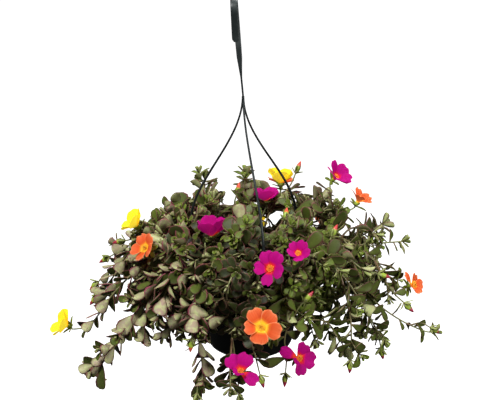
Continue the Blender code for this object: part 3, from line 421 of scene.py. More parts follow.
class Link:
    """A socket's value in a material, with Python's operators for Math nodes."""

    def __init__(self, paint: "Paint", socket: bpy.types.NodeSocket) -> None:
        """Keep the socket and the material that it belongs to."""
        self.paint = paint
        self.socket = socket

    def _math(self, operation: str, first: "Link | float", second: "Link | float" = 0.0) -> "Link":
        """Add a Math node on two values."""
        return self.paint.node("ShaderNodeMath", {"operation": operation}, {0: first, 1: second})

    def __add__(self, other: "Link | float") -> "Link":
        """Sum."""
        return self._math("ADD", self, other)

    __radd__ = __add__

    def __sub__(self, other: "Link | float") -> "Link":
        """Difference."""
        return self._math("SUBTRACT", self, other)

    def __rsub__(self, other: "Link | float") -> "Link":
        """Difference from a number."""
        return self._math("SUBTRACT", other, self)

    def __mul__(self, other: "Link | float") -> "Link":
        """Product."""
        return self._math("MULTIPLY", self, other)

    __rmul__ = __mul__

    def __abs__(self) -> "Link":
        """Size without sign."""
        return self._math("ABSOLUTE", self)

    def eased(self, low: float, high: float) -> "Link":
        """Value eased from 0 at low to 1 at high."""
        return self.paint.node("ShaderNodeMapRange", {"interpolation_type": "SMOOTHSTEP"},
                               {"Value": self, "From Min": low, "From Max": high})


class Paint:
    """A material in the making: nodes are added in front of its Principled shader."""

    def __init__(self, name: str) -> None:
        """Start a material.

        Args:
            name: Name of the material.
        """
        self.material = bpy.data.materials.new(name)
        self.material.use_nodes = True
        self.tree = self.material.node_tree
        self.shader = self.tree.nodes["Principled BSDF"]

    def plug(self, socket: bpy.types.NodeSocket, value: Any) -> None:
        """Link a value to a socket, or set the socket to it.

        Args:
            socket: The socket.
            value: A link, or a number, colour or vector.
        """
        if isinstance(value, Link):
            self.tree.links.new(value.socket, socket)
        else:
            socket.default_value = value

    def node(self, kind: str, settings: dict[str, Any], inputs: dict[Any, Any], output: Any = 0) -> Link:
        """Add a node.

        Args:
            kind: Type of the node.
            settings: Its settings, which are set first; "stops" are a ramp's (place, colour) pairs.
            inputs: Values or links of its sockets, by name or number.
            output: Name or number of the output that is wanted.

        Returns:
            The output.
        """
        node = self.tree.nodes.new(kind)
        for key, value in settings.items():
            if key != "stops":
                setattr(node, key, value)
                continue
            ramp = node.color_ramp
            for number, (place, colour) in enumerate(value):
                stop = ramp.elements[number] if number < 2 else ramp.elements.new(place)
                stop.position, stop.color = place, (*colour, 1.0)
        for key, value in inputs.items():
            self.plug(node.inputs[key], value)
        return Link(self, node.outputs[output])

    def value(self, name: str) -> Link:
        """Value by name that the piece carries at its points."""
        return self.node("ShaderNodeAttribute", {"attribute_name": name}, {}, "Fac")

    def place(self) -> Link:
        """Place on the piece, in metres."""
        return self.node("ShaderNodeTexCoord", {}, {}, "Object")

    def noise(self, scale: float, detail: float = 2.0, vector: Link | None = None) -> Link:
        """Noise from 0 to 1, of so many lumps a metre."""
        inputs = {"Vector": vector or self.place(), "Scale": scale, "Detail": detail}
        return self.node("ShaderNodeTexNoise", {}, inputs)

    def mix(self, share: Link | float, first: Link | Colour, second: Link | Colour) -> Link:
        """Colour between two colours."""
        ends = [value if isinstance(value, Link) else (*value, 1.0) for value in (first, second)]
        return self.node("ShaderNodeMix", {"data_type": "RGBA"}, {0: share, 6: ends[0], 7: ends[1]}, 2)

    def bump(self, height: Link, depth: float, strength: float = 1.0) -> Link:
        """Normal of a surface raised by a height of so many metres."""
        return self.node("ShaderNodeBump", {}, {"Height": height, "Distance": depth, "Strength": strength})

    def dress(self, **sockets: Any) -> Material:
        """Plug values into the shader.

        Args:
            sockets: Values by the names of the sockets, Base_Color for Base Color and so on.

        Returns:
            The material.
        """
        for key, value in sockets.items():
            self.plug(self.shader.inputs[key.replace("_", " ")], value)
        return self.material


@dataclass(frozen=True)
class PlasticFinish:
    """Moulded plastic: its colour and that of its dusty places, its roughness, depth of grain and shine."""

    name: str
    colour: Colour
    dust: Colour
    roughness: float
    grain: float
    shine: float

    def material(self) -> Material:
        """Make the material.

        Returns:
            The material, with broad dusty clouds, fine scuffs and a pebbled grain.
        """
        paint = Paint(self.name)
        clouds = paint.noise(38.0, 4.0).eased(0.42, 0.8)
        scuffs = paint.noise(420.0, 3.0).eased(0.58, 0.78)
        colour = paint.mix(clouds * 0.55 + scuffs * 0.25, self.colour, self.dust)
        grain = paint.noise(2600.0, 2.0)
        return paint.dress(Base_Color=colour, Roughness=self.roughness + clouds * 0.12 + scuffs * 0.1,
                           Specular_IOR_Level=self.shine, Normal=paint.bump(grain, self.grain, 0.6))


@dataclass(frozen=True)
class SoilFinish:
    """Damp compost: dark crumbs, brown fibres and a few pale grains."""

    name: str = "dressed_soil"
    damp: Colour = (0.018, 0.011, 0.007)
    dry: Colour = (0.075, 0.045, 0.027)
    pale: Colour = (0.52, 0.5, 0.45)

    def material(self) -> Material:
        """Make the material.

        Returns:
            The material, coloured by noise, with pale grains where the tone is high.
        """
        paint = Paint(self.name)
        crumbs = paint.noise(520.0, 6.0)
        colour = paint.mix(crumbs.eased(0.35, 0.7), self.damp, self.dry)
        colour = paint.mix(paint.value("tone").eased(0.9, 0.93), colour, self.pale)
        return paint.dress(Base_Color=colour, Roughness=0.93, Normal=paint.bump(crumbs, 0.0009))


@dataclass(frozen=True)
class LeafFinish:
    """Fleshy leaf: deep green above, pale below, with a flushed margin."""

    name: str = "dressed_leaf"
    deep: Colour = (0.009, 0.014, 0.003)
    green: Colour = (0.122, 0.158, 0.028)
    fresh: Colour = (0.205, 0.3, 0.03)
    pale: Colour = (0.45, 0.485, 0.22)
    rosy: Colour = (0.33, 0.215, 0.18)
    dusk: Colour = (0.058, 0.036, 0.02)
    margin: Colour = (0.27, 0.04, 0.08)
    stalk: Colour = (0.16, 0.095, 0.045)

    def material(self) -> Material:
        """Make the material.

        The upper side runs from deep to plain green by the leaf's tone and to fresh green in young
        leaves, the underside from pale to rosy. Both darken towards the margin, where the side value
        nears zero, and the margin itself is flushed.

        Returns:
            The material.
        """
        paint = Paint(self.name)
        side, along = paint.value("side"), paint.value("along")
        tone, blush, young = paint.value("tone"), paint.value("blush"), paint.value("young")
        cloud = paint.noise(190.0, 3.0)
        fine = paint.noise(1500.0, 2.0)
        upper = paint.mix(tone * 0.8 + cloud * 0.3 - 0.1, self.deep, self.green)
        upper = paint.mix(young, upper, self.fresh)
        under = paint.mix(blush * cloud.eased(0.3, 0.62), self.pale, self.rosy)
        under = paint.mix(young * 0.6, under, self.fresh)
        colour = paint.mix(side.eased(-0.16, 0.1), under, upper)
        colour = paint.mix((1.0 - abs(side).eased(0.2, 1.0)) * (0.86 - young * 0.6), colour, self.dusk)
        edge = 1.0 - abs(side).eased(0.1, 0.6)
        colour = paint.mix(edge * blush, colour, self.margin)
        colour = paint.mix((1.0 - along.eased(0.02, 0.24)) * 0.75, colour, self.stalk)
        colour = paint.mix(fine.eased(0.45, 0.85) * 0.06, colour, self.pale)
        return paint.dress(Base_Color=colour, Roughness=0.4 + cloud * 0.16, Specular_IOR_Level=0.2,
                           Subsurface_Weight=0.12, Subsurface_Radius=(0.5, 1.0, 0.2), Subsurface_Scale=0.0015,
                           Normal=paint.bump(fine + cloud * 0.8, 0.00022, 0.7))


@dataclass(frozen=True)
class StemFinish:
    """Fleshy stem: russet where its blush is high and green where it is low."""

    name: str = "dressed_stem"
    russet: Colour = (0.17, 0.07, 0.04)
    green: Colour = (0.2, 0.245, 0.085)

    def material(self) -> Material:
        """Make the material.

        Returns:
            The material, coloured by the stem's blush and a cloudy noise.
        """
        paint = Paint(self.name)
        cloud = paint.noise(150.0, 3.0)
        old = paint.value("blush") + cloud * 0.5 - 0.25
        return paint.dress(Base_Color=paint.mix(old, self.green, self.russet), Roughness=0.48,
                           Normal=paint.bump(paint.noise(900.0, 2.0), 0.0002))


@dataclass(frozen=True)
class BudFinish:
    """Bud: green at its foot and, at its tip, from crimson to orange by its tone."""

    name: str = "dressed_bud"
    green: Colour = (0.32, 0.43, 0.045)
    crimson: Colour = (0.33, 0.008, 0.06)
    orange: Colour = (0.78, 0.09, 0.035)

    def material(self) -> Material:
        """Make the material.

        Returns:
            The material, coloured by the share along the bud, unevenly by a fine noise.
        """
        paint = Paint(self.name)
        petal = paint.mix(paint.value("tone"), self.crimson, self.orange)
        shade = paint.noise(900.0, 2.0)
        colour = paint.mix((paint.value("along") + shade * 0.12).eased(0.55, 0.72), self.green, petal)
        return paint.dress(Base_Color=colour, Roughness=0.42, Normal=paint.bump(shade, 0.0002))


@dataclass(frozen=True)
class PetalFinish:
    """Silky petal: colours along it, of its veins and side rims, a back lightened partly as painted light,
    and the glow of its scatter.
    """

    name: str
    stops: tuple[tuple[float, Colour], ...]
    vein: Colour
    back: Colour
    rim: Colour
    glow: Colour

    def material(self) -> Material:
        """Make the material: colours along the petal, fine veins that fan out to its edge, and a paler back
        that is partly painted light on its shaded outer side.

        The thin petal lets light through as a scatter of about its thickness; an emission of its own colour
        is a painted glow that lightens its shaded sides.

        Returns:
            The material.
        """
        paint = Paint(self.name)
        along, across, side = paint.value("along"), paint.value("across"), paint.value("side")
        fan = paint.node("ShaderNodeCombineXYZ", {}, {0: across * 9.0, 1: along * 1.4,
                                                      2: paint.value("tone") * 40.0})
        veins = paint.noise(1.0, 3.0, fan)
        cloud = paint.noise(140.0, 2.0)
        place = along + (cloud - 0.5) * 0.06
        colour = paint.node("ShaderNodeValToRGB", {"stops": self.stops}, {0: place})
        colour = paint.mix(veins.eased(0.48, 0.72) * place.eased(0.25, 0.5) * 0.5, colour, self.vein)
        # Painted light: the back is paler than the front, and is lifted further so that the shaded outer
        # sides of the petals read bright.
        colour = paint.mix((1.0 - side.eased(-0.3, 0.3)) * 0.8, colour, self.back)
        edge = abs(across).eased(0.8, 1.0) * (1.0 - along.eased(0.75, 0.95)) * 0.5
        colour = paint.mix(edge, colour, self.rim)
        # Painted glow: an emission of the petal's own colour lightens its shaded sides.
        return paint.dress(Base_Color=colour, Roughness=0.66, Specular_IOR_Level=0.06, Subsurface_Weight=0.4,
                           Subsurface_Radius=self.glow, Subsurface_Scale=0.0012,
                           Emission_Color=colour, Emission_Strength=0.38,
                           Normal=paint.bump(veins, 0.00015, 0.4))


@dataclass(frozen=True)
class StamenFinish:
    """Stamens: coloured threads that carry anthers dusted with pollen."""

    name: str
    thread: Colour
    tip: Colour
    pollen: Colour

    def material(self) -> Material:
        """Make the material.

        Returns:
            The material, coloured along each thread, with grainy pollen where the young value is one.
        """
        paint = Paint(self.name)
        grain = paint.noise(3800.0, 2.0)
        thread = paint.mix(paint.value("along"), self.thread, self.tip)
        anther = paint.value("young")
        dust = paint.mix(grain.eased(0.35, 0.65), self.pollen, self.tip)
        return paint.dress(Base_Color=paint.mix(anther, thread, dust), Roughness=0.55,
                           Normal=paint.bump(grain, 0.00012))


GOLDEN_STAMENS = StamenFinish("dressed_stamens_golden", thread=(0.72, 0.13, 0.02), tip=(0.86, 0.48, 0.03),
                              pollen=(0.84, 0.33, 0.012))
ORANGE_STAMENS = StamenFinish("dressed_stamens_orange", thread=(0.72, 0.06, 0.02), tip=(0.85, 0.34, 0.022),
                              pollen=(0.83, 0.2, 0.012))


class PetalColour(Enum):
    """Colours of the blooms, each with its finish and its material slot."""

    # Each back colour is paler than its petal, partly as painted light on the shaded outer sides.
    MAGENTA = PetalFinish(
        "dressed_petals_magenta",
        ((0.0, (0.6, 0.1, 0.01)), (0.2, (0.56, 0.03, 0.012)), (0.29, (0.43, 0.006, 0.04)),
         (0.39, (0.29, 0.001, 0.115)), (0.8, (0.305, 0.002, 0.128)), (1.0, (0.34, 0.004, 0.15))),
        vein=(0.24, 0.001, 0.092), back=(0.45, 0.008, 0.195), rim=(0.22, 0.001, 0.085),
        glow=(1.0, 0.25, 0.7))
    ORANGE = PetalFinish(
        "dressed_petals_orange",
        ((0.0, (0.78, 0.48, 0.018)), (0.24, (0.8, 0.44, 0.026)), (0.36, (0.54, 0.12, 0.016)),
         (0.46, (0.5, 0.066, 0.015)), (0.84, (0.54, 0.105, 0.034)), (0.94, (0.62, 0.185, 0.08)),
         (1.0, (0.7, 0.285, 0.135))),
        vein=(0.43, 0.038, 0.01), back=(0.65, 0.15, 0.055), rim=(0.7, 0.27, 0.12),
        glow=(1.0, 0.4, 0.2))
    YELLOW = PetalFinish(
        "dressed_petals_yellow",
        ((0.0, (0.74, 0.38, 0.01)), (0.16, (0.8, 0.5, 0.012)), (0.36, (0.83, 0.61, 0.014)),
         (1.0, (0.85, 0.625, 0.03))),
        vein=(0.79, 0.56, 0.012), back=(0.9, 0.68, 0.045), rim=(0.82, 0.58, 0.016),
        glow=(1.0, 0.8, 0.1))

    def slot(self) -> str:
        """Name of the record's material slot."""
        return f"petals_{self.name.lower()}"


MAGENTA, ORANGE, YELLOW = PetalColour


# Pot, hanger and soil


def turned_points(profile: Array, steps: int) -> Array:
    """Rings of a turned shape: each profile point (radius, height) goes round the axis.

    Args:
        profile: Radii and heights, as (rings, 2).
        steps: Points on a ring.

    Returns:
        Points, as (rings, steps, 3).
    """
    turn = circle(steps)
    radius, height = profile[:, 0, None], profile[:, 1, None]
    height = np.broadcast_to(height, (len(profile), steps))
    return np.stack((radius * np.cos(turn), radius * np.sin(turn), height), axis=-1)


@dataclass
class Pot:
    """Round black pot: a wall with a banded rim, three eyed discs on the band and drained floor."""

    rim_radius: float = 0.075
    band_height: float = 0.009
    wall_top_radius: float = 0.0715
    foot_radius: float = 0.0555
    base_radius: float = 0.05
    height: float = 0.125
    foot_height: float = 0.011
    wall: float = 0.0018
    floor: float = 0.0025
    eye_azimuths: tuple[float, ...] = (-78.0, 42.0, 162.0)
    eye_reach: float = 0.08
    eye_radius: float = 0.0066
    eye_hole: float = 0.0023
    eye_top: float = -0.001
    eye_thick: float = 0.003
    drain_radius: float = 0.0045
    drain_reach: float = 0.033
    steps: int = 112
    eye_steps: int = 36
    drain_steps: int = 28
    drain_azimuths: tuple[float, ...] = (45.0, 135.0, 225.0, 315.0)
    finish: PlasticFinish = PlasticFinish("dressed_pot", (0.003, 0.0033, 0.0031), (0.008, 0.008, 0.007),
                                          roughness=0.48, grain=0.00012, shine=0.16)

    def profile(self) -> Array:
        """Section of the wall, rim and floor.

        Returns:
            Radii and heights from just off the axis inside, over the rim and down to the underside.
        """
        foot, floor = self.foot_height - self.height, self.floor - self.height
        inner_foot, inner_top = self.foot_radius - self.wall, self.wall_top_radius - self.wall
        inner = [(0.0005, floor), (self.base_radius - self.wall - 0.002, floor),
                 (inner_foot - 0.002, -self.height + 0.45 * self.foot_height),
                 (inner_foot, foot), (inner_top, -self.band_height - 0.002)]
        rim = [(self.rim_radius - inset, height) for inset, height in (
            (0.0028, 0.001 - self.band_height), (0.0024, -0.0016), (0.0021, -0.0005), (0.0014, 0.0),
            (0.0007, 0.0), (0.0002, -0.0003), (0.0, -0.001), (0.0003, -0.8 * self.band_height),
            (0.0006, -self.band_height), (0.0012, -self.band_height - 0.0004))]
        outer = [(self.wall_top_radius, -self.band_height - 0.001),
                 (0.5 * (self.wall_top_radius + self.foot_radius), 0.5 * (foot - self.band_height)),
                 (self.foot_radius + 0.0002, foot + 0.0008)]
        reach = self.foot_radius - self.base_radius
        base = [(self.base_radius + reach * math.sin(angle),
                 -self.height + self.foot_height * (1 - math.cos(angle)))
                for angle in np.radians(np.linspace(84.0, 6.0, 9))]
        under = [(self.base_radius - 0.001, -self.height), (0.0005, -self.height)]
        return np.array([*inner, *rim, *outer, *base, *under])

    def eye_points(self, azimuth: float) -> Array:
        """One eyed disc, as a thick washer with softened edges.

        Args:
            azimuth: Azimuth of the disc, in degrees.

        Returns:
            Points, as (rings, steps, 3).
        """
        low, high, soft = self.eye_top - self.eye_thick, self.eye_top, 0.0004
        outer, inner = self.eye_radius, self.eye_hole
        loop = np.array(((inner, low + soft), (inner + soft, low), (outer - soft, low), (outer, low + soft),
                         (outer, high - soft), (outer - soft, high), (inner + soft, high),
                         (inner, high - soft)))
        return turned_points(loop, self.eye_steps) + polar(azimuth, self.eye_reach, 0.0)

    def build(self) -> None:
        """Turn the wall, set the eyes on the band and drill the drain holes."""
        shape = Shape(names=())
        shape.add_plug(turned_points(self.profile()[::-1], self.steps))
        for azimuth in self.eye_azimuths:
            rings = self.eye_points(azimuth)
            shape.add(rings.reshape(1, -1, 3), ring_faces(*rings.shape[:2]))
        self.drill(shape.make("pot_body", [self.finish.material()], "pot", ["pot"], sharp=38.0))

    def drill(self, item: bpy.types.Object) -> None:
        """Cut the four drain holes out of the floor with a Boolean modifier and keep its result.

        Args:
            item: The pot's object.
        """
        drill = Shape(names=())
        profile = np.array([(self.drain_radius, -self.height + way) for way in (-0.01, 0.01)])
        for azimuth in self.drain_azimuths:
            drill.add_plug(turned_points(profile, self.drain_steps) + polar(azimuth, self.drain_reach, 0.0))
        cutter = add_object("drill", drill.mesh("drill"))
        modifier = item.modifiers.new("drains", "BOOLEAN")
        modifier.operation = "DIFFERENCE"
        modifier.object = cutter
        modifier.solver = "EXACT"
        bpy.context.view_layer.update()
        cut = bpy.data.meshes.new_from_object(item.evaluated_get(bpy.context.evaluated_depsgraph_get()))
        item.modifiers.clear()
        item.data = cut
        bpy.data.objects.remove(cutter)


@dataclass
class Hanger:
    """One moulding of dark plastic: a flat hook, a neck, three strands and a clip under each eye."""

    thick: float = 0.0022
    neck_thick: float = 0.0026
    crown_radius: float = 0.011
    tip_drop: float = 0.047
    tip_flare: float = 0.0015
    neck_drop: float = 0.094
    junction_drop: float = 0.1175
    strap_lean: float = 0.0905
    tip_lean: float = 0.045
    widths: Pairs = (
        (0.0, 0.0087), (0.07, 0.0068), (0.084, 0.0041), (0.094, 0.0024), (0.1195, 0.0024))
    back: Pairs = (
        (1.0, 0.034), (0.9, 0.046), (0.55, 0.06), (0.18, 0.075), (0.0, 0.084), (0.0, 0.094), (0.0, 0.1195))
    strand_radii: Pair = (0.00115, 0.0017)
    strand_steps: int = 14
    swing: float = 0.178
    tail: float = 0.02
    clip_radius: float = 0.0036
    clip_height: float = 0.0062
    clip_steps: int = 24
    join_offset: float = 0.0006
    gap: float = 0.0003
    finish: PlasticFinish = PlasticFinish("dressed_hanger", (0.011, 0.015, 0.015), (0.045, 0.055, 0.055),
                                          roughness=0.36, grain=0.00007, shine=0.35)

    def strap_points(self) -> Array:
        """Rings of the strap: a rounded oblong section carried over the crown and down the long leg.

        The section's across vector is +X. Its width and its sideways lean follow the drop below the
        crown's top, and its corners are rounded by the square root of the circle's sine and cosine.

        Returns:
            Points, as (rings, around, 3).
        """
        leg = self.crown_radius + self.thick / 2
        front = [(-leg - out * self.tip_flare, -down * self.tip_drop)
                 for out, down in ((1.0, 1.0), (0.4, 0.72), (0.0, 0.45))]
        crown = [(leg * math.cos(angle), -self.crown_radius + leg * math.sin(angle))
                 for angle in np.radians(np.linspace(180.0, 0.0, 25))]
        back = [(share * leg, -drop) for share, drop in self.back]
        path = Path([np.array((0.0, *point)) for point in front + crown + back], 0.0012)
        depth, height = path.points[:, 1], path.points[:, 2]
        after = path.run > path.run[np.argmax(height)]
        lean = np.where(after, self.strap_lean, self.tip_lean)
        drop = np.where(after, -height, 0.0)
        width = np.interp(drop, *zip(*self.widths))
        tip = path.run / (0.5 * width[0])
        width = width * np.sqrt(np.clip(1.0 - (1.0 - np.clip(tip, 0.12, 1.0)) ** 2, 0.0, 1.0))
        thick = np.interp(drop, (0.07, self.neck_drop), (self.thick, self.neck_thick))
        centre = np.column_stack((-AXIS_SHIFT - lean * np.minimum(height, 0.0), depth, RIM_DROP + height))
        across = np.broadcast_to(np.array((1.0, 0.0, 0.0)), centre.shape)
        up = np.cross(path.axes, across)
        turn = circle(20)
        cos, sin = (np.sign(wave) * np.abs(wave) ** 0.5 for wave in (np.cos(turn), np.sin(turn)))
        return (centre[:, None] + across[:, None] * (0.5 * width[:, None] * cos)[..., None]
                + up[:, None] * (0.5 * thick[:, None] * sin)[..., None])

    def strand(self, azimuth: float) -> tuple[Array, Array]:
        """Line and radii of a strand: it swings out by a smooth step of its drop, then hangs through its eye.

        Args:
            azimuth: Azimuth of its eye, in degrees.

        Returns:
            Points and radii.
        """
        drop = self.junction_drop
        start = np.array((self.strap_lean * drop - AXIS_SHIFT, 0.0, RIM_DROP - drop))
        end = polar(azimuth, Pot.eye_reach, 0.0)
        away = unit(np.array((end[0] - start[0], end[1] - start[1], 0.0)))
        start = start + away * self.join_offset
        drops = np.linspace(0.0, start[2] + self.tail, 66)
        part = smooth_step(drops, 0.0, self.swing)[:, None]
        line = start + np.array((end[0] - start[0], end[1] - start[1], 0.0)) * part
        line[:, 2] = start[2] - drops
        return line, np.interp(drops, (0.0, self.swing), self.strand_radii)

    def clip_points(self, azimuth: float) -> Array:
        """The barb under an eye, as a turned cone with a soft shoulder.

        Args:
            azimuth: Azimuth of its eye, in degrees.

        Returns:
            Points, as (rings, steps, 3).
        """
        top = Pot.eye_top - Pot.eye_thick - self.gap
        radii = (0.0012, self.strand_radii[1] + self.gap, 0.0032, self.clip_radius, self.clip_radius, 0.003,
                 0.0012)
        drops = np.array((1.0, 0.98, 0.35, 0.14, 0.05, 0.0, 0.0)) * self.clip_height
        cone = turned_points(np.column_stack((radii, top - drops)), self.clip_steps)
        return cone + polar(azimuth, Pot.eye_reach, 0.0)

    def build(self) -> None:
        """Join the strap, the strands and the clips in one piece."""
        shape = Shape(names=())
        shape.add_plug(self.strap_points())
        for azimuth in Pot.eye_azimuths:
            line, radii = self.strand(azimuth)
            axes = unit(np.gradient(line, axis=0))
            across = unit(np.cross(np.array((0.0, 1.0, 0.001)), axes))
            tube = tube_points(line, across, np.cross(axes, across), radii, self.strand_steps)
            shape.add_pods(tube, line[-1] + axes[-1] * 0.5 * radii[-1])
            shape.add_plug(self.clip_points(azimuth))
        shape.make("hanger_moulding", [self.finish.material()], "hanger", ["hanger"], sharp=50.0)


@dataclass
class Soil:
    """Crumbly filling of the pot, with loose grains on its top.

    A wave of crumbs is a height over the greatest, and the sines of two slanting waves: the numbers of
    each are its slopes along X and Y and its start.
    """

    drop: float = 0.012
    crown: float = 0.003
    radius: float = 0.068
    foot: float = 0.05
    depth: float = 0.108
    foot_rise: float = 0.008
    crumb: float = 0.0006
    waves: tuple[tuple[float, Point, Point], ...] = (
        (1.0, (410, 130, 0), (-90, 370, 0)), (0.6, (930, -410, 1), (260, 870, 0)),
        (0.4, (1900, 700, 0), (-500, 1730, 0)))
    rings: int = 46
    steps: int = 128
    grains: int = 420
    grain_sizes: Pair = (0.0005, 0.0016)
    strewn: float = 0.03
    seed: int = 7
    finish: SoilFinish = SoilFinish()

    def height(self, x: Array, y: Array) -> Array:
        """Height of the top: a low crown with waves of crumbs that die down to the wall.

        Args:
            x: Places across.
            y: Places to the back.

        Returns:
            Heights over the rim.
        """
        reach = np.hypot(x, y) / self.radius
        crumbs = sum(most * np.sin(a * x + b * y + c) * np.sin(d * x + e * y + f)
                     for most, (a, b, c), (d, e, f) in self.waves)
        return -self.drop + self.crown * (1.0 - reach ** 2) + self.crumb * crumbs * (1.0 - reach ** 6)

    def add_grains(self, shape: Shape) -> None:
        """Strew the grains: each a rough pod of three rings of five points.

        Args:
            shape: Surface to add to.
        """
        rng = np.random.default_rng(self.seed)
        place = np.column_stack((rng.normal(size=(self.grains, 2)) * self.strewn, np.zeros(self.grains)))
        place = place[np.hypot(place[:, 0], place[:, 1]) < self.radius - 0.004]
        place[:, 2] = self.height(place[:, 0], place[:, 1])
        size = rng.uniform(*self.grain_sizes, len(place))
        ring = turned_points(np.array(((0.6, -0.7), (1.0, 0.0), (0.6, 0.7))), 5)
        grain = np.vstack((ring.reshape(-1, 3), (0.0, 0.0, 1.0)))
        rough = rng.uniform(0.75, 1.25, (len(place), len(grain), 3))
        shape.add(place[:, None] + grain * rough * size[:, None, None], pod_faces(3, 5),
                  tone=rng.uniform(0.0, 1.0, len(place))[:, None])

    def build(self) -> None:
        """Make the filling as a closed turned body and strew the grains."""
        shape = Shape(names=("tone",))
        reach = np.concatenate((np.linspace(0.0006, self.radius, self.rings), [self.foot, 0.0006]))
        rings = turned_points(np.column_stack((reach, np.zeros(len(reach)))), self.steps)
        rings[..., 2] = self.height(rings[..., 0], rings[..., 1])
        rings[-2:, :, 2] = -self.drop - self.depth + self.foot_rise
        shape.add_plug(rings[::-1])
        self.add_grains(shape)
        shape.make("soil_filling", [self.finish.material()], "soil", ["soil"])


# Blooms


@dataclass(frozen=True)
class PetalForm:
    """Form that all petals share: shares of the petal or of its bloom's radius, and half its thickness."""

    rings: tuple[float, ...] = (*np.linspace(0.0, 0.86, 9), 0.93, 0.98, 1.0)
    around: int = 26
    foot: float = 0.17
    widest: float = 0.76
    shoulder: float = 0.27
    notch: Pair = (0.1, 0.04)
    notch_width: float = 0.2
    cup: float = 0.9
    twist: float = math.radians(10.0)
    wave: float = 0.024
    crease: float = 0.05
    crease_width: float = 0.3
    thick: float = 0.0002
    hub: float = 0.0008


@dataclass(frozen=True)
class StamenForm:
    """Form of a crown of stamens: their number, height, spread and thickness, and that of their anthers."""

    count: int = 30
    base: float = 0.0016
    full_radius: float = 0.018
    tall: float = 0.005
    ring: float = 0.0011
    spread: float = 0.0031
    threads: tuple[float, ...] = tuple(np.linspace(0.0002, 0.00013, 5))
    anther_places: tuple[float, ...] = (-1.0, -0.55, 0.35, 0.85)
    anther_radii: tuple[float, ...] = (0.00022, 0.00042, 0.00045, 0.00026)
    anther_half: float = 0.00075
    anther_end: float = 0.00082


PETAL = PetalForm()
STAMENS = StamenForm()


